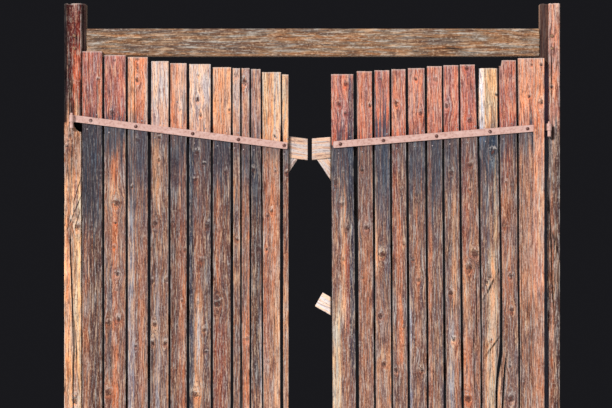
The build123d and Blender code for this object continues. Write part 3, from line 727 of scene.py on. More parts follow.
def timber_group():
    """Old sawn wood: colour and height from the timber's own directions, with bands, grain and checks."""
    graph, given = new_group(
        "Old timber", "Shader",
        [
            ("Tone", "Color", (0.5, 0.4, 0.3, 1.0)), ("Seed", "Float", 0.0), ("Shift", "Float", 0.0),
            ("Coarseness", "Float", 1.0), ("Contrast", "Float", 1.0), ("Checks", "Float", 0.6),
            ("Bands", "Float", 1.0),
        ],
        [("Colour", "Color"), ("Height", "Float"), ("Streak", "Float")],
    )
    across, depth, along = graph.separate(graph.vector("timber"))
    along = along + given["Seed"] * SEED_STEP
    bend = graph.swing(graph.noise(graph.combine(across, depth, along), (4.0, 4.0, 1.3), 2.0), 0.05)
    across = across + bend + given["Shift"]
    grain = graph.combine(across / given["Coarseness"], depth, along)
    # Cells for each metre across, through and along the timber
    bands = graph.noise(grain, (30.0, 22.0, 0.9), 2.0, 0.55)
    streaks = graph.noise(grain, (70.0, 46.0, 4.0), 3.0, 0.66)
    lines = graph.noise(grain, (128.0, 84.0, 10.5), 3.0, 0.68)
    hairs = graph.noise(grain, (240.0, 150.0, 7.0), 2.0, 0.60)
    flecks = graph.noise(grain, (150.0, 110.0, 60.0), 3.0, 0.66)
    patches = graph.noise(grain, (8.0, 8.0, 3.4), 3.0, 0.60)
    ridge = graph.noise(grain, (46.0, 30.0, 1.1), 2.0, 0.50) - 0.5
    open_here = graph.smooth(graph.noise(grain, (12.0, 12.0, 1.4), 2.0), 0.46, 0.62)
    checks = graph.smooth(abs(ridge), 0.016, 0.003)
    checks = checks * open_here * given["Checks"]
    tone, contrast = given["Tone"], given["Contrast"]
    warm = graph.scaled(tone, (1.16, 0.98, 0.82))
    cool = graph.scaled(tone, (0.68, 0.67, 0.76))
    dark = graph.scaled(tone, (0.30, 0.24, 0.28))
    light = graph.mix(0.52, tone, SUNLIT)
    colour = graph.paint(tone, warm, graph.smooth(bands, 0.50, 0.60), given["Bands"])
    colour = graph.paint(colour, cool, graph.smooth(bands, 0.48, 0.39), given["Bands"])
    for cells, low, high, mark, strength in (
        (patches, 0.52, 0.68, light, 0.30), (streaks, 0.54, 0.65, light, 0.70),
        (streaks, 0.46, 0.36, dark, contrast * 0.72), (lines, 0.54, 0.62, dark, contrast * 0.85),
        (lines, 0.46, 0.38, light, 0.66), (hairs, 0.55, 0.64, dark, contrast * 0.80),
        (flecks, 0.56, 0.64, dark, contrast * 0.75), (flecks, 0.44, 0.36, light, 0.55),
    ):
        colour = graph.paint(colour, mark, graph.smooth(cells, low, high), strength)
    colour = graph.mix(checks, colour, CHECK_BROWN)
    fine = graph.noise(graph.moved(grain, (7.1, 3.3, 5.7)), (88.0, 60.0, 5.0), 3.0)
    bluish = graph.scaled(colour, (0.88, 1.01, 1.18))
    reddish = graph.scaled(colour, (1.13, 0.965, 0.82))
    colour = graph.mix(graph.smooth(fine, 0.42, 0.58), bluish, reddish)
    height = 1.0
    for cells, low, high, depth in (
        (lines, 0.48, 0.66, 0.45), (streaks, 0.50, 0.34, 0.30), (flecks, 0.50, 0.70, 0.20),
    ):
        height = height - graph.smooth(cells, low, high) * depth
    height = height - checks * 1.2
    return graph.close(colour, height, lines)


def group_of(name, maker):
    return bpy.data.node_groups.get(name) or maker()


def call_group(graph, name, maker, **values):
    """Adds a shared group to a material and feeds its named inputs."""
    # The tree is set before the inputs are fed, since it is what makes them
    return fields(graph, graph.node("ShaderNodeGroup", named=values, node_tree=group_of(name, maker)))


def new_material(name):
    material = bpy.data.materials.new(name)
    material.use_nodes = True
    material.node_tree.nodes.clear()
    return material, Graph(material.node_tree)


def close_material(graph, colour, height, roughness, bump, distance, metallic=0.0):
    """Bump, surface and output. The constants stand on the sockets themselves."""
    relief = graph.add("ShaderNodeBump", named={"Strength": bump, "Distance": distance, "Height": height})
    shader = graph.add("ShaderNodeBsdfPrincipled", named={
        "Base Color": colour, "Roughness": roughness, "Metallic": metallic, "Specular IOR Level": 0.25,
        "Normal": relief,
    })
    graph.node("ShaderNodeOutputMaterial", shader)


def strap_line(side):
    """The upper strap's sloping centreline as (height at x = 0, rise for each metre of x)."""
    low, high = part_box(f"{side}_upper_bolts")
    rise = high.z - low.z - 2 * BOLT_HEAD_RADIUS
    slope = -LEAVES[side] * rise / (high.x - low.x - 2 * BOLT_HEAD_RADIUS)
    return (low.z + high.z) / 2 - slope * (low.x + high.x) / 2, slope


def streak_mask(graph, middle, half, foot, head, softness, lean=0.0):
    """The mask of one streak or crack. Its middle and half width are in metres."""
    return call_group(
        graph, "Streak", streak_group, Middle=middle, Half=half, Foot=foot, Head=head,
        Softness=softness, Lean=lean,
    )["Mask"]


def weathered(name, seed, width, offset=0.0, coarseness=1.0, checks=0.6):
    """A weathered timber's colour and height: tone, streaks, grain, stain, knots with a painted highlight
    above each, cracks, worn edges and painted shade along the boards' edges.

    The shares in the tables count across a face of this width, whose middle lies at this offset.
    """
    finish = FINISHES[name]
    material, graph = new_material("weathered_" + name)
    height_at_zero, slope = strap_line(name.split("_")[0])
    x, _, z = graph.separate(graph.place())
    below = x * slope + height_at_zero - z
    under = graph.smooth(below, -0.005, 0.012)
    grime = graph.scaled(finish.upper[:3], (0.90, 0.72, 0.66))
    tone = graph.paint(finish.upper, grime, graph.smooth(below, -0.24, 0.0), 0.9)
    grain = graph.vector("timber")
    runs = graph.noise(graph.moved(grain, (seed * 3.1, 0.0, seed)), (95.0, 20.0, 1.6), 3.0)
    change = under
    if name.endswith("_post"):
        change = graph.smooth(below + graph.swing(runs, 0.8), -0.10, 0.10)
    tone = graph.mix(change, tone, finish.lower)
    for middle, half, foot, head, streak_tone, strength in STREAKS.get(name, ()):
        mask = streak_mask(graph, (middle - 0.5) * width + offset, half * width, foot, head, 0.45)
        tone = graph.paint(tone, streak_tone, mask, strength)
    knot = call_group(graph, "Knot", knot_group)
    wood = call_group(
        graph, "Old timber", timber_group, Tone=tone, Seed=seed, Shift=knot["Shift"],
        Coarseness=coarseness, Contrast=1.0, Checks=checks, Bands=1.3 - finish.upper[1],
    )
    colour, height, streak = wood["Colour"], wood["Height"], wood["Streak"]
    if finish.stain:
        colour = stained(graph, colour, below, under, runs, streak, finish)
    glow = graph.scaled(colour, (1.6, 1.05, 0.8))
    colour = graph.paint(colour, glow, knot["Below"], 0.5)
    # A painted highlight above each knot
    colour = graph.paint(colour, SILVERED, knot["Above"], 0.55)
    large = graph.smooth(graph.number("knot_radius"), 0.009, 0.015)
    colour = graph.mix(knot["Core"], colour, graph.mix(large, KNOT_GREY, KNOT_BROWN))
    colour = graph.paint(colour, CHECK_BROWN, knot["Ring"], 0.6)
    arris = graph.number("arris")
    rubbed = graph.noise(graph.moved(grain, (0.0, 0.0, seed * 5.3)), (30.0, 30.0, 9.0), 3.0)
    worn = graph.smooth(arris, 0.0065, 0.001) * graph.smooth(rubbed, 0.45, 0.58)
    colour = graph.paint(colour, SILVERED, worn, 0.55)
    # Painted shade along the boards' edges that darkens the gaps between them, together with grime in the
    # joints
    if finish.stain:
        colour = graph.paint(colour, CHECK_BROWN, graph.smooth(arris, 0.0022, 0.0010), 0.85)
    ends = graph.smooth(graph.number("end"), 0.014, 0.002)
    colour = graph.paint(colour, SILVERED, ends, 0.45)
    height = height + knot["Bulge"] * 1.2
    height = height - knot["Ring"] * 0.5
    for middle, half, foot, head, lean in CRACKS.get(name, ()):
        mask = streak_mask(graph, (middle - 0.5) * width + offset, half, foot, head, 0.30, lean)
        colour = graph.mix(mask, colour, CHECK_BROWN)
        height = height - mask * 2.0
    return material, graph, colour, height


def stained(graph, colour, below, under, runs, streak, finish):
    """The dark stain: solid under the strap, running down in ragged streaks and creeping up a little."""
    reach = below + graph.swing(runs, 2.6 * finish.run)
    fade = graph.smooth(reach, finish.run, 0.15 * finish.run)
    near = graph.smooth(below, 0.16, 0.02)
    down = graph.math("MAXIMUM", fade, near) * under
    limit = (runs - 0.44) * (8.0 * finish.creep)
    up = graph.smooth(below + limit, -0.01, 0.04)
    up = up * (1.0 - under)
    wet = graph.math("MAXIMUM", down, up) * finish.stain * graph.smooth(streak, 0.24, 0.38)
    soaked = graph.mix(0.45, graph.scaled(colour, (0.40, 0.56, 0.74)), SLATE)
    return graph.mix(wet, colour, soaked)


def board_material(name, seed, width):
    """A weathered board, brown and clean on the sides that the weather doesn't reach."""
    material, graph, colour, height = weathered(name, seed, width)
    depth = graph.separate(graph.vector("timber"))[1]
    colour = graph.paint(colour, INNER_WOOD, graph.smooth(depth, 0.014, 0.022), 0.75)
    close_material(graph, colour, height, 0.86, 0.8, 0.0018)
    return material


def patch(graph, place, low, high, soft, back):
    """A soft-edged upright rectangle between two (x, z) corners, on what stands before a depth."""
    mask = graph.smooth(place[1], back, back - 0.004)
    for value, start, end in ((place[0], low[0], high[0]), (place[2], low[1], high[1])):
        mask = mask * graph.smooth(value, start - soft, start + soft)
        mask = mask * graph.smooth(value, end + soft, end - soft)
    return mask


def post_material(name, seed, face, centre, direction, step):
    """A post with deep checks, painted shade in the step behind the leaf's edge, in its gouge and beside its
    hinge, and blotches of painted shade and sheen.
    """
    width, offset = face[1] - face[0], (face[0] + face[1]) / 2 - centre
    material, graph, colour, height = weathered(name, seed, width, offset, 1.3, 1.0)
    grain = graph.vector("timber")
    across, depth, _ = graph.separate(grain)
    place = graph.separate(graph.place())
    blotch = graph.noise(graph.moved(grain, (seed, 0.0, seed * 2.0)), (22.0, 12.0, 3.0), 4.0, 0.68)
    # Blotches of painted shade and painted sheen: darker and lighter copies of the post's colour
    shadow = graph.scaled(colour, (0.40, 0.34, 0.36))
    colour = graph.paint(colour, shadow, graph.smooth(blotch, 0.57, 0.66), 0.70)
    shine = graph.mix(0.30, graph.scaled(colour, (1.6, 1.42, 1.25)), BLEACHED_WOOD)
    colour = graph.paint(colour, shine, graph.smooth(blotch, 0.48, 0.36), 0.65)
    sheltered = graph.smooth(depth, step + 0.004, step + 0.020)
    colour = graph.paint(colour, INNER_WOOD, sheltered, 0.75)
    edge = offset * direction + width / 2
    outward = across * direction
    if name == "right_post":
        (foot, foot_end), (head, head_end) = LIP_HEIGHTS
        lit = graph.smooth(place[2], foot, foot_end) * graph.smooth(place[2], head, head_end)
        outward = outward - lit * LIP_WIDTH
    # Painted shade in the step behind the leaf's edge, left out on the right post's lit lip
    step_shade = graph.smooth(outward, edge + 0.0005, edge + 0.0025) * (1.0 - sheltered)
    slot = SLOT_SHADOW
    for low, high, tone in SLOT_TONES:
        slot = graph.mix(graph.smooth(place[2], low, high), slot, tone)
    colour = graph.paint(colour, slot, step_shade, 0.90)
    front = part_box(name)[0].y
    line, slope = strap_line(name.split("_")[0])
    hinge = line + slope * face[0 if direction < 0 else 1]
    # Painted shadows as lower left corner, upper right corner and strength: on the left post down its upper
    # left edge and in the gap at its right edge above the hinge, on the right post where the pintle casts its
    # shadow
    if name == "left_post":
        # Painted shade inside the gouge
        deep = graph.smooth(place[1], front + 0.004, front + 0.009)
        low, high = (face[1] - 0.056, hinge - 0.090), (face[1] + 0.02, hinge + 0.006)
        hollow = patch(graph, place, low, high, 0.004, front + 0.050)
        colour = graph.paint(colour, PAINTED_SHADE_BLACK, deep, hollow)
        painted_shadows = (
            ((face[0] - 0.02, hinge - 0.02), (face[0] + 0.019, 3.4), 0.88),
            ((face[0] - 0.02, hinge - 0.01), (face[0] + 0.050, 3.4), 0.22),
            ((face[1] - 0.012, hinge + 0.02), (face[1] + 0.02, hinge + 0.26), 0.85),
        )
    else:
        painted_shadows = (((face[0] + 0.012, hinge - 0.082), (face[0] + 0.036, hinge + 0.002), 0.85),)
    for low, high, strength in painted_shadows:
        dark = patch(graph, place, low, high, 0.007, front + 0.020)
        colour = graph.paint(colour, PAINTED_SHADE_BLACK, dark, strength)
    close_material(graph, colour, height, 0.88, 0.9, 0.003)
    return material


def lintel_material():
    """The lintel, which the weather has aged evenly."""
    material, graph = new_material("lintel_timber")
    wood = call_group(
        graph, "Old timber", timber_group, Tone=LINTEL_WOOD, Seed=63.0, Coarseness=1.6, Contrast=0.8,
        Checks=0.8,
    )
    close_material(graph, wood["Colour"], wood["Height"], 0.86, 0.7, 0.002)
    return material


def ledge_material():
    """Ledges and braces: brown-grey inside, with painted shade just behind the boards, bleached pale where
    the lost boards no longer cover them.
    """
    material, graph = new_material("ledge_timber")
    x, _, z = graph.separate(graph.place())
    left_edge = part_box("left_board_12")[1].x
    right_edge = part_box("right_board_11")[0].x
    middle, reach = (left_edge + right_edge) / 2, (right_edge - left_edge) / 2
    from_middle = abs(x - middle)
    bare = graph.smooth(from_middle, reach + 0.006, reach - 0.010)
    pale = graph.mix(graph.smooth(z, 1.6, 1.4), BLEACHED_WOOD, WHITENED_WOOD)
    wood = call_group(
        graph, "Old timber", timber_group, Tone=graph.mix(bare, LEDGE_WOOD, pale), Seed=31.0,
        Coarseness=1.1, Contrast=0.75, Checks=0.6, Bands=0.25,
    )
    covered = 1.0 - bare
    shaded = graph.scaled(INNER_WOOD[:3], (0.9, 0.9, 0.9))
    colour = graph.paint(wood["Colour"], shaded, covered, 0.5)
    depth = graph.separate(graph.vector("timber"))[1]
    # Painted shade on the covered faces just behind the boards
    behind = covered * graph.smooth(depth, 0.030, 0.010)
    colour = graph.paint(colour, PAINTED_SHADE_BLACK, behind, 0.96)
    close_material(graph, colour, wood["Height"], 0.85, 0.5, 0.0012)
    return material


def iron_material(name, tone, dark, scale, metallic=0.0, roughness=0.75, shaded=None):
    """Dry rusty iron: softly mottled, with a few pits, and painted shade between two x where it stands in a
    slot.
    """
    material, graph = new_material(name)
    place = graph.place()
    mottle = graph.noise(place, (60.0 * scale,) * 3, 4.0, 0.62)
    pits = graph.noise(place, (260.0 * scale,) * 3, 3.0, 0.60)
    streaks = graph.noise(place, (12.0, 40.0, 50.0), 3.0, 0.6)
    colour = graph.mix(graph.smooth(mottle, 0.44, 0.72), tone, dark)
    colour = graph.paint(colour, IRON_BLOOM, graph.smooth(streaks, 0.50, 0.70), 0.5)
    pitted = graph.smooth(pits, 0.60, 0.72)
    colour = graph.paint(colour, PIT_BROWN, pitted, 0.45)
    # Painted shade between the two x
    if shaded:
        x = graph.separate(place)[0]
        start, end = [graph.smooth(x, edge, edge + step) for edge, step in zip(shaded, (0.002, -0.002))]
        colour = graph.paint(colour, PAINTED_SHADE_BLACK, start * end, 0.88)
    height = mottle * 0.5 - pitted * 0.3
    close_material(graph, colour, height, roughness, 0.35, 0.0006, metallic)
    return material


def peg_material():
    """Weathered hardwood, with its rings on the pegs' ends."""
    material, graph = new_material("peg_wood")
    rings = graph.noise(graph.place(), (160.0, 30.0, 160.0), 3.0)
    colour = graph.mix(graph.smooth(rings, 0.35, 0.65), PEG_LIGHT, PEG_DARK)
    close_material(graph, colour, rings, 0.85, 0.5, 0.001)
    return material


def floor_material(pale):
    material, graph = new_material("pale_floor")
    speckle = graph.noise(graph.place(), (3.0, 3.0, 3.0), 3.0)
    colour = graph.paint((*pale, 1.0), FLOOR_SPECK, speckle, 0.08)
    close_material(graph, colour, speckle, 0.9, 0.05, 0.001)
    return material


def weathering_tree():
    """Geometry nodes: sinks a timber's surface by stretched noise for its grain, waves and checks."""
    graph, given = new_group(
        "Weather timber", "Geometry",
        [
            ("Geometry", "Geometry", None), ("Grain depth", "Float", 0.0015), ("Check depth", "Float", 0.0),
            ("Seed", "Float", 0.0), ("Material", "Material", None),
        ],
        [("Geometry", "Geometry")],
    )
    own = graph.add("GeometryNodeInputNamedAttribute", "timber", data_type="FLOAT_VECTOR")
    shifted = graph.moved(own, graph.combine(0.0, 0.0, given["Seed"]))
    ridges = graph.noise(shifted, (70.0, 50.0, 1.4), 2.0, 0.6)
    waves = graph.noise(shifted, (12.0, 12.0, 2.2), 2.0, 0.5)
    depth = ridges * 0.7 + waves * 0.9
    depth = depth * given["Grain depth"]
    ridge = graph.noise(shifted, (22.0, 16.0, 0.55), 1.0, 0.5) - 0.5
    place = graph.smooth(graph.noise(shifted, (5.0, 5.0, 0.9), 1.0), 0.44, 0.60)
    check = graph.smooth(abs(ridge), 0.030, 0.0) * place
    depth = depth + check * given["Check depth"]
    normal = graph.add("GeometryNodeInputNormal")
    named = {0: normal, "Scale": depth * -1.0}
    sink = graph.add("ShaderNodeVectorMath", named=named, operation="SCALE")
    named = {"Geometry": given["Geometry"], "Offset": sink}
    moved = graph.add("GeometryNodeSetPosition", named=named)
    return finish_tree(graph, moved, given["Material"])


def nail_tree():
    """Geometry nodes: a low domed head on every point, slightly turned and tilted."""
    graph, given = new_group(
        "Board nails", "Geometry",
        [
            ("Geometry", "Geometry", None), ("Head radius", "Float", 0.0045),
            ("Head height", "Float", 0.0018), ("Seed", "Int", 0), ("Material", "Material", None),
        ],
        [("Geometry", "Geometry")],
    )
    ball = graph.add("GeometryNodeMeshUVSphere", named={"Segments": 10, "Rings": 6, "Radius": 1.0})
    size = graph.combine(given["Head radius"], given["Head height"], given["Head radius"])
    head = graph.add("GeometryNodeTransform", named={"Geometry": ball, "Scale": size})
    head = graph.add("GeometryNodeSetShadeSmooth", head)
    named = {"Min": (-0.25, -3.1, -0.25), "Max": (0.25, 3.1, 0.25), "Seed": given["Seed"]}
    turn = graph.add("FunctionNodeRandomValue", named=named, data_type="FLOAT_VECTOR")
    named = {2: 0.75, 3: 1.2, "Seed": given["Seed"]}
    scale = graph.add("FunctionNodeRandomValue", named=named, output=1, data_type="FLOAT")
    named = {"Points": given["Geometry"], "Instance": head, "Rotation": turn, "Scale": scale}
    spread = graph.add("GeometryNodeInstanceOnPoints", named=named)
    return finish_tree(graph, spread, given["Material"])


def finish_tree(graph, geometry, material):
    """Every geometry tree ends with real geometry that carries its material."""
    real = graph.add("GeometryNodeRealizeInstances", geometry)
    named = {"Geometry": real, "Material": material}
    return graph.close(graph.add("GeometryNodeSetMaterial", named=named))


def bake(piece):
    """Keeps what a piece's modifiers make of it as a plain mesh."""
    depsgraph = bpy.context.evaluated_depsgraph_get()
    mesh = bpy.data.meshes.new_from_object(
        piece.evaluated_get(depsgraph), preserve_all_data_layers=True, depsgraph=depsgraph
    )
    piece.modifiers.clear()
    piece.data = mesh


def apply_tree(piece, tree, **values):
    """Runs a geometry tree on a piece. A named input is given with _ for each space, in lower case."""
    modifier = piece.modifiers.new(tree.name, "NODES")
    modifier.node_group = tree
    for item in tree.interface.items_tree:
        label = item.name.lower().replace(" ", "_")
        if item.item_type == "SOCKET" and item.in_out == "INPUT" and label in values:
            modifier[item.identifier] = values[label]
    bake(piece)


def new_piece(name, points, faces):
    """A new object with a mesh of these points and faces."""
    mesh = bpy.data.meshes.new(name)
    mesh.from_pydata(points, [], faces)
    piece = bpy.data.objects.new(name, mesh)
    bpy.context.scene.collection.objects.link(piece)
    return piece


def face_outwards(mesh):
    work = bmesh.new()
    work.from_mesh(mesh)
    bmesh.ops.recalc_face_normals(work, faces=work.faces)
    work.to_mesh(mesh)
    work.free()


def store(mesh, label, values, vector=False):
    """Stores a number, or a vector, on each of a mesh's points."""
    attribute = mesh.attributes.new(label, "FLOAT_VECTOR" if vector else "FLOAT", "POINT")
    attribute.data.foreach_set("vector" if vector else "value", values.astype(np.float32).ravel())


def cut(piece, outline, near_y, far_y):
    """Cuts an upright prism, given by its (x, z) outline, through a piece."""
    count = len(outline)
    points = [(x, near_y, z) for x, z in outline] + [(x, far_y, z) for x, z in outline]
    faces = [tuple(range(count)), tuple(range(2 * count - 1, count - 1, -1))]
    faces += [(k, k + count, (k + 1) % count + count, (k + 1) % count) for k in range(count)]
    cutter = new_piece("cutter", points, faces)
    face_outwards(cutter.data)
    modifier = piece.modifiers.new("cut", "BOOLEAN")
    modifier.object = cutter
    modifier.operation = "DIFFERENCE"
    modifier.solver = "EXACT"
    bake(piece)
    bpy.data.objects.remove(cutter)


def seat(piece, body, slot, *nodes):
    """A finished piece rides on its body and stands for its nodes. Its slot is not used."""
    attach(piece, body)
    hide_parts(*nodes)


def corners_of(node):
    """A node's vertices as rows of x, y and z."""
    return np.array([v.co for v in frame["nodes"][node].data.vertices], float).reshape(-1, 3)


def long_sides(node):
    """The two long sides of a node's outline seen from the front, each as two (x, z) points."""
    points = [Vector((x, z)) for x, _, z in corners_of(node)]
    hull = [points[i] for i in convex_hull_2d(points)]
    edges = sorted(zip(hull, hull[1:] + hull[:1]), key=lambda edge: (edge[1] - edge[0]).length)
    merged = [sorted(edge, key=lambda point: (point.y, point.x)) for edge in edges[-2:]]
    return sorted(merged, key=lambda edge: edge[0].x + edge[1].x)


def board_corners(node):
    """A board's outline: left and right x at its bottom and its top, and both corners of its box."""
    low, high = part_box(node)
    ends = []
    for foot, head in long_sides(node):
        lean = (head.x - foot.x) / (head.y - foot.y)
        ends.append((foot.x + lean * (low.z - foot.y), foot.x + lean * (high.z - foot.y)))
    return ends, low, high


def section_ring(corners, counts, arris):
    """Points round a section: its edges divided, its outer corners rounded, with the distance to a corner."""
    ring, near = [], []
    total = len(corners)
    centre = sum(corners, Vector()) / total
    for i, corner in enumerate(corners):
        previous, following = corners[i - 1], corners[(i + 1) % total]
        back, forward = (previous - corner).normalized(), (following - corner).normalized()
        radius = arris if (corner - centre).dot(back + forward) < 0 else INNER_RADIUS
        a, b = corner + back * radius, corner + forward * radius
        ring += [a, corner + (a - corner + b - corner) * ARC_SHARE]
        near += [radius * ROUNDED_SHARE, 0.0]
        c = following - forward * arris
        for k in range(counts[i]):
            share = k / counts[i]
            ring.append(b.lerp(c, share))
            near.append(min(share, 1 - share) * (c - b).length + radius * ROUNDED_SHARE)
    return np.array(ring), near


def loft_timber(name, start, end, steps, along_step, arris, seed, ragged=0.0, form=None):
    """A timber between two end sections, each a list of corners in the same order.

    The steps give the mesh's cell width on each side of the section. Stores three attributes on its
    points: "timber" holds its own directions (across, depth, along), "arris" the distance to the nearest
    edge and "end" the distance to the nearer end.
    """
    middle_start = sum(start, Vector()) / len(start)
    middle_end = sum(end, Vector()) / len(end)
    length = (middle_end - middle_start).length
    along = (middle_end - middle_start).normalized()
    across = np.array(DEPTH_AXIS.cross(along).normalized())
    front = min(corner.y for corner in start)
    sides = zip(start, start[1:] + start[:1], steps)
    counts = [max(1, round((following - corner).length / step)) for corner, following, step in sides]
    ring_start, near = section_ring(start, counts, arris)
    ring_end, _ = section_ring(end, counts, arris)
    rows = max(2, round(length / along_step))
    shares = [0.0, min(0.3, arris / length)]
    shares += [k / rows for k in range(1, rows)] + [1 - shares[1], 1.0]
    points, own, ends = [], [], []
    for number, share in enumerate(shares):
        row = ring_start * (1 - share) + ring_end * share
        centre = np.array(middle_start.lerp(middle_end, share))
        if number in (0, len(shares) - 1):
            row = centre + (row - centre) * (1 - arris / END_TAPER)
        flat = np.stack([(row - centre) @ across, row[:, 1] - front], axis=1)
        if ragged and share in (0.0, 1.0, shares[1], shares[-2]):
            worn = [noise.noise(Vector((u * RAGGED_ACROSS, d * RAGGED_DEEP, seed + share))) for u, d in flat]
            row = row + np.outer(np.abs(worn) * ragged * (1 if share < 0.5 else -1), np.array(along))
        points.append(row)
        own.append(np.column_stack([flat, np.full(len(row), share * length)]))
        ends.append(np.full(len(row), min(share, 1 - share) * length))
    points, own = np.array(points), np.array(own)
    if form:
        points = form(points, own)
    count = points.shape[1]
    last = (len(shares) - 1) * count
    faces = [
        (base + k, base + (k + 1) % count, base + count + (k + 1) % count, base + count + k)
        for base in range(0, last, count) for k in range(count)
    ]
    faces += [tuple(range(count - 1, -1, -1)), tuple(range(last, last + count))]
    timber = new_piece(name, points.reshape(-1, 3).tolist(), faces)
    timber.data.shade_smooth()
    store(timber.data, "timber", own, vector=True)
    store(timber.data, "arris", np.array([near] * len(shares)))
    store(timber.data, "end", np.array(ends))
    face_outwards(timber.data)
    return timber


def board_form(name, seed, foot, cup, wave, low_x_side):
    """Cups, tilts and waves a board a little, bows its edges, and gives the waney board its slanted edge."""
    hollow = noise.noise(Vector((seed, 1.7, 0.0))) * 2 * cup
    tilt = noise.noise(Vector((seed, 5.1, 0.0))) * 2 * cup

    def form(points, own):
        half = np.abs(own[..., 0]).max()
        share = own[..., 0] / half
        run = own[:, 0, 2]
        points[..., 1] += np.abs(hollow) * (1 - share ** 2)
        points[..., 1] += np.abs(tilt) * (1 + share * np.sign(tilt)) / 2
        bowed = np.zeros(share.shape)
        for side, heights, offsets in EDGES.get(name, ()):
            reach = np.clip(share * side, 0, 1) ** 2
            bowed += side * np.interp(run + foot, heights, offsets)[:, None] * reach
        for side in (-1, 1):
            sway = [
                noise.noise(Vector((seed, side * 3.0, z * LONG_WAVE)))
                + 0.5 * noise.noise(Vector((seed, side, z * SHORT_WAVE)))
                for z in run
            ]
            points[..., 0] -= side * wave * np.abs(sway)[:, None] * np.clip(share * side, 0, 1) ** 3
        if name == WANEY_BOARD:
            from_top = own[..., 2].max() - own[..., 2]
            reach = np.maximum(np.clip(1 - from_top / WANE_LENGTH, 0, 1), 0.30 * np.exp(-from_top / 0.6))
            from_edge = half - own[..., 0] * low_x_side
            slant = np.clip(1 - from_edge / WANE_WIDTH, 0, 1) * WANE_DEPTH * np.sqrt(reach)
            points[..., 1] += np.where(own[..., 1] < WANE_DEPTH, slant, 0)
        points[..., 0] += bowed
        own[..., 0] += bowed
        return points

    return form


def set_knots(piece, knots, lift):
    """Raises the wood round each knot and stores each point's nearest one for the material.

    "knot" holds the offset from it in radii, across and along, and how clearly it is the nearest.
    """
    if not knots:
        return
    mesh = piece.data
    points = np.empty(len(mesh.vertices) * 3, np.float32)
    mesh.vertices.foreach_get("co", points)
    points = points.reshape(-1, 3)
    centres = np.array(knots)
    across = (points[:, 0] - centres[:, :1]) / centres[:, 2:]
    along = (points[:, 2] - centres[:, 1:2]) / centres[:, 2:]
    reach = np.hypot(across, along / KNOT_STRETCH)
    order = np.argsort(reach, axis=0)
    rows = np.arange(len(points))
    first = reach[order[0], rows]
    second = reach[order[1], rows] if len(knots) > 1 else np.full(len(points), 99.0)
    nearness = np.clip((second - first) / 0.8, 0, 1) * np.clip((7 - first) / 2, 0, 1)
    # A large knot shows clearly, a smaller one more or less so
    clarity = [
        1.0 if size == LARGE else 0.45 + 0.55 * abs(math.sin(37.0 * x + 11.0 * z)) for x, z, size in knots
    ]
    nearness *= np.array(clarity)[order[0]]
    nearest = np.column_stack([across[order[0], rows], along[order[0], rows], nearness])
    radius = centres[order[0], 2]
    depth = points[:, 1] - points[:, 1].min()
    swell = lift * radius * np.exp(-first ** 2) * nearness * np.clip(1 - depth / SWELL_DEPTH, 0, 1)
    points[:, 1] -= swell
    mesh.vertices.foreach_set("co", points.ravel())
    store(mesh, "knot", nearest, vector=True)
    store(mesh, "knot_radius", radius)


class DRESS_OT_boards(Operator):
    """Boards of both leaves and the cover strip"""

    bl_idname = "barndoor.boards"
    bl_label = "Boards"

    def execute(self, context):
        sizes = context.scene.door_boards
        tree = group_of("Weather timber", weathering_tree)
        fine, coarse = sizes.across_step, sizes.across_step * 3
        for number, name in enumerate(n for n in FINISHES if "post" not in n):
            seed = 1.0 + number
            side = name.split("_")[0]
            (left_x, right_x), low, high = board_corners(name)
            start, end = [
                [Vector((x, y, z)) for x, y in (
                    (left_x[i], low.y), (right_x[i], low.y), (right_x[i], high.y), (left_x[i], high.y),
                )]
                for i, z in ((0, low.z), (1, high.z))
            ]
            form = board_form(name, seed, low.z, sizes.cup, sizes.wave, LEAVES[side])
            board = loft_timber(
                name + "_wood", start, end, (fine, fine, coarse, fine), sizes.along_step, sizes.arris, seed,
                sizes.ragged_ends, form,
            )
            if name == NOTCHED_BOARD:
                self.break_board(board, left_x, low, high)
            if name == "right_cover_strip":
                self.house_strap(board, low, high)
            set_knots(board, KNOTS.get(name, ()), sizes.knot_lift)
            apply_tree(
                board, tree, grain_depth=sizes.grain_depth, seed=seed * SEED_STEP,
                material=board_material(name, seed, right_x[0] - left_x[0]),
            )
            seat(board, side + "_leaf", "weathered_boards", name)
        return {"FINISHED"}

    def break_board(self, board, meeting_x, low, high):
        """The broken top corner and the long crack at the foot of one board."""
        bottom, top = meeting_x
        near, far = low.y - 0.01, high.y + 0.01
        corner = [
            (top - 0.02, high.z - NOTCH_HEIGHT * 0.82), (top + NOTCH_WIDTH * 0.55, high.z - NOTCH_HEIGHT),
            (top + NOTCH_WIDTH * 0.8, high.z - NOTCH_HEIGHT * 0.35), (top + NOTCH_WIDTH, high.z + 0.02),
            (top - 0.02, high.z + 0.02),
        ]
        cut(board, corner, near, far)
        foot = [(bottom + CRACK_OFFSET + half, low.z - 0.02) for half in (-CRACK_WIDTH / 2, CRACK_WIDTH / 2)]
        cut(board, foot + list(CRACK_SIDES), near, far)

    def house_strap(self, strip, low, high):
        """The housings in the cover strip's back, for the straps that pass under it."""
        height_at_zero, slope = strap_line("right")
        half = STRAP_WIDTH / 2 + HOUSING_PLAY
        ends = ((low.x - 0.01, -1), (high.x + 0.01, -1), (high.x + 0.01, 1), (low.x - 0.01, 1))
        for level in LEVELS:
            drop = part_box(f"right_{level}_strap")[1].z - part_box("right_upper_strap")[1].z
            outline = [(x, height_at_zero + drop + slope * x + side * half) for x, side in ends]
            cut(strip, outline, high.y - HOUSING_DEPTH, high.y + 0.01)


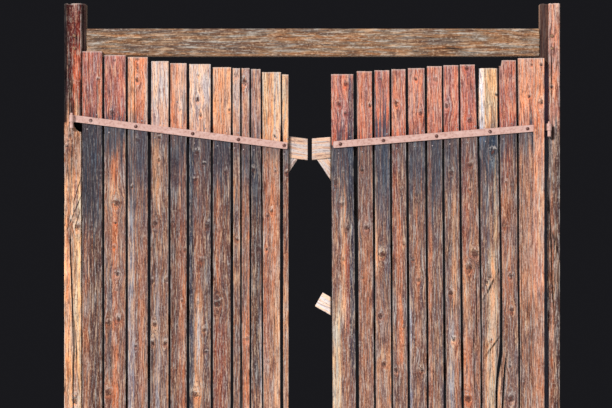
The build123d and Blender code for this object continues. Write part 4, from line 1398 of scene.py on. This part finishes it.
class DRESS_OT_ledges(Operator):
    """Ledges and braces on the back of the leaves"""

    bl_idname = "barndoor.ledges"
    bl_label = "Ledges and Braces"

    def execute(self, context):
        sizes = context.scene.door_frame
        tree = group_of("Weather timber", weathering_tree)
        material = ledge_material()
        names = [f"{side}_{level}_ledge" for side in LEAVES for level in LEVELS]
        names += ["left_brace", "right_brace", "right_lower_brace"]
        for number, name in enumerate(names):
            low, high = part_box(name)
            first, second = long_sides(name)
            if (first[1] - first[0]).dot(second[1] - second[0]) < 0:
                second = second[::-1]
            start, end = [
                [Vector((x, y, z)) for (x, z), y in (
                    (first[i], low.y), (second[i], low.y), (second[i], high.y), (first[i], high.y)
                )]
                for i in (0, 1)
            ]
            timber = loft_timber(
                name + "_wood", start, end, (sizes.across_step,) * 4, sizes.along_step,
                sizes.arris * LEDGE_SHARE, 40.0 + number, LEDGE_RAGGED,
            )
            apply_tree(
                timber, tree, grain_depth=sizes.grain_depth * LEDGE_SHARE, seed=3.7 * number,
                material=material,
            )
            seat(timber, name.split("_")[0] + "_leaf", "ledge_timber", name)
        return {"FINISHED"}


class DRESS_OT_frame(Operator):
    """Posts and lintel"""

    bl_idname = "barndoor.frame"
    bl_label = "Posts and Lintel"

    def execute(self, context):
        sizes = context.scene.door_frame
        tree = group_of("Weather timber", weathering_tree)
        fine, coarse = sizes.across_step, sizes.across_step * 3
        for side, direction in LEAVES.items():
            name = side + "_post"
            section, low, high = self.post_section(name, direction)
            start, end = [[Vector((x, y, z)) for x, y in section] for z in (low.z, high.z)]
            post = loft_timber(
                name + "_wood", start, end, (fine, fine, fine, coarse, coarse, fine * 2), sizes.along_step,
                sizes.arris, 60.0 + direction, POST_RAGGED,
            )
            if side == "left":
                self.gouge(post, section[1], sizes.gouge_depth)
            set_knots(post, KNOTS[name], POST_KNOT_LIFT)
            face = sorted((section[0][0], section[1][0]))
            centre = sum(x for x, y in section) / len(section)
            step = section[2][1] - section[1][1]
            apply_tree(
                post, tree, grain_depth=sizes.grain_depth, check_depth=sizes.check_depth,
                seed=5.0 + direction,
                material=post_material(name, 54.0 + 3 * direction, face, centre, direction, step),
            )
            seat(post, "frame", "frame_timber", name)
        self.lintel(sizes, tree)
        return {"FINISHED"}

    def post_section(self, node, direction):
        """The post's L-shaped section: outer corner, face edge, stop corner, inner edge and the back."""
        low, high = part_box(node)
        points = corners_of(node)
        outer, inner = (low.x, high.x) if direction > 0 else (high.x, low.x)
        front = points[points[:, 1] < low.y + 0.010]
        face_edge = front[:, 0].max() if direction > 0 else front[:, 0].min()
        stop_y = points[np.abs(points[:, 0] - face_edge) < 1e-4][:, 1].max()
        section = [
            (outer, low.y), (face_edge, low.y), (face_edge, stop_y),
            (inner, stop_y), (inner, high.y), (outer, high.y),
        ]
        return section, low, high

    def gouge(self, post, edge, depth):
        """The hollow worn in the post's edge just under the strap, which its material fills with painted
        shade.
        """
        line, slope = strap_line("left")
        x, y = edge
        top = line + slope * x - STRAP_WIDTH / 2
        cut(post, [(x + across, top + up) for across, up in GOUGE_OUTLINE], y - 0.02, y + depth)

    def lintel(self, sizes, tree):
        low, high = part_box("lintel")
        left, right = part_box("left_post")[1].x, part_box("right_post")[0].x
        corners = ((low.y, low.z), (high.y, low.z), (high.y, high.z), (low.y, high.z))
        start, end = [[Vector((x, y, z)) for y, z in corners] for x in (left, right)]
        lintel = loft_timber(
            "lintel_wood", start, end, (sizes.across_step,) * 4, sizes.along_step, sizes.arris, 70.0
        )
        apply_tree(
            lintel, tree, grain_depth=sizes.grain_depth, check_depth=sizes.check_depth * 0.7, seed=11.0,
            material=lintel_material(),
        )
        seat(lintel, "frame", "frame_timber", "lintel")


class DRESS_OT_iron(Operator):
    """Straps, pintles, bolts, washers and nuts, and the wooden pegs"""

    bl_idname = "barndoor.iron"
    bl_label = "Iron and Pegs"

    def execute(self, context):
        hinge_x = frame["record"]["behaviour"]["joints"][1]["pos_m"][0]
        # The strap gets painted shade where it runs between the cover strip and the pintle's eye
        slot = (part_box("right_cover_strip")[1].x - 0.001, hinge_x - EYE_RADIUS)
        strap = iron_material("strap_rust", RUST, RUST_DARK, 1.0, shaded=slot)
        bolt = iron_material("bolt_rust", BOLT_RUST, BOLT_DARK, 2.5, 0.35, 0.42)
        paints = {"strap": strap, "pintle": strap, "bolts": bolt, "washers": bolt, "nuts": bolt}
        paints["pegs"] = peg_material()
        for name, node in frame["nodes"].items():
            paint = paints.get(name.split("_")[-1])
            if paint:
                node.data.materials.clear()
                node.data.materials.append(paint)
        return {"FINISHED"}


class DRESS_OT_nails(Operator):
    """Nails that hold the boards to the ledges and braces"""

    bl_idname = "barndoor.nails"
    bl_label = "Nails"

    def execute(self, context):
        sizes = context.scene.door_nails
        tree = group_of("Board nails", nail_tree)
        material = iron_material("nail_rust", NAIL_GREY, NAIL_DARK, 4.0, 0.2, 0.5)
        for side in LEAVES:
            line, slope = strap_line(side)
            lower_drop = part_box(f"{side}_upper_strap")[1].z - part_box(f"{side}_lower_strap")[1].z
            points = []
            for number, name in enumerate(n for n in FINISHES if n.startswith(side + "_board")):
                (left_x, right_x), low, high = board_corners(name)
                for drop in (0.0, lower_drop):
                    for k, (share, step) in enumerate(NAIL_ROWS):
                        down = (line + drop - low.z) / (high.z - low.z)
                        left = left_x[1] + (left_x[0] - left_x[1]) * down
                        right = right_x[1] + (right_x[0] - right_x[1]) * down
                        jitter = noise.noise(Vector((number * 1.3, k * 2.1, drop)))
                        x = left + (right - left) * (share + 0.06 * jitter)
                        z = line + slope * x - drop + step + 0.008 * jitter
                        points.append((x, low.y + NAIL_SINK, z))
            for name, x, z in ODD_NAILS:
                if name.startswith(side):
                    points.append((x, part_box(name)[0].y + NAIL_SINK, z))
            nails = new_piece(side + "_board_nails", points, [])
            apply_tree(
                nails, tree, head_radius=sizes.head_radius, head_height=sizes.head_height, seed=sizes.seed,
                material=material,
            )
            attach(nails, side + "_leaf")
        return {"FINISHED"}


class DRESS_OT_stage(Operator):
    """Floor, lights, backdrop and camera"""

    bl_idname = "barndoor.stage"
    bl_label = "Stage"

    def execute(self, context):
        stage = context.scene.door_stage
        scene = context.scene
        corners = [(x * FLOOR_REACH, y * FLOOR_REACH, 0) for x, y in ((-1, -1), (1, -1), (1, 1), (-1, 1))]
        floor = new_piece("floor", corners, [(0, 1, 2, 3)])
        floor.data.materials.append(floor_material(stage.floor_colour))
        self.lights(scene, stage)
        self.camera(scene, stage)
        scene.view_settings.view_transform = "Standard"
        return {"FINISHED"}

    def lights(self, scene, stage):
        key = bpy.data.lights.new("key", "SUN")
        key.energy = stage.key_strength
        key.angle = KEY_ANGLE
        key.color = KEY_COLOUR
        lamp = bpy.data.objects.new("key", key)
        lamp.rotation_euler = Vector(KEY_DIRECTION).to_track_quat("-Z", "Y").to_euler()
        scene.collection.objects.link(lamp)
        world = bpy.data.worlds.new("studio")
        world.use_nodes = True
        world.node_tree.nodes.clear()
        graph = Graph(world.node_tree)
        rays = fields(graph, graph.node("ShaderNodeLightPath"))
        seen = graph.math("MAXIMUM", rays["Is Glossy Ray"], rays["Is Transmission Ray"])
        seen = graph.math("MAXIMUM", rays["Is Camera Ray"], seen)
        soft = graph.add("ShaderNodeBackground", SOFT_COLOUR, stage.fill_strength)
        back = graph.add("ShaderNodeBackground", (*stage.backdrop_colour, 1.0), 1.0)
        both = graph.add("ShaderNodeMixShader", seen, soft, back)
        graph.node("ShaderNodeOutputWorld", both)
        scene.world = world

    def camera(self, scene, stage):
        data = bpy.data.cameras.new("camera")
        data.sensor_width = 36.0
        data.lens = data.sensor_width * stage.camera_distance / stage.view_width
        data.clip_end = 200.0
        camera = bpy.data.objects.new("camera", data)
        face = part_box("left_board_01")[0].y
        across, up = stage.view_centre
        camera.location = (across, face - stage.camera_distance, up)
        camera.rotation_euler = (math.radians(90), 0.0, 0.0)
        scene.collection.objects.link(camera)
        scene.camera = camera


class DRESS_PT_panel(Panel):
    """Lists the steps that dress the door"""

    bl_idname = "DRESS_PT_panel"
    bl_label = "Barn Door"
    bl_space_type = "VIEW_3D"
    bl_region_type = "UI"
    bl_category = "Barn Door"

    def draw(self, context):
        for operator in OPERATORS:
            self.layout.operator(operator.bl_idname)
        for group in GROUPS:
            settings = getattr(context.scene, group)
            for name in settings.__annotations__:
                self.layout.prop(settings, name)


GROUPS = {
    "door_boards": DoorBoards, "door_frame": DoorFrame, "door_nails": DoorNails, "door_stage": DoorStage,
}
OPERATORS = (
    DRESS_OT_boards, DRESS_OT_ledges, DRESS_OT_frame, DRESS_OT_iron, DRESS_OT_nails, DRESS_OT_stage,
)


def register():
    for cls in (*GROUPS.values(), *OPERATORS, DRESS_PT_panel):
        bpy.utils.register_class(cls)
    for name, cls in GROUPS.items():
        setattr(bpy.types.Scene, name, PointerProperty(type=cls))


def unregister():
    for name in GROUPS:
        delattr(bpy.types.Scene, name)
    for cls in reversed((*GROUPS.values(), *OPERATORS, DRESS_PT_panel)):
        bpy.utils.unregister_class(cls)


def main():
    register()
    bpy.ops.barndoor.boards()
    bpy.ops.barndoor.ledges()
    bpy.ops.barndoor.frame()
    bpy.ops.barndoor.iron()
    bpy.ops.barndoor.nails()
    bpy.ops.barndoor.stage()


if __name__ == "__main__":
    main()
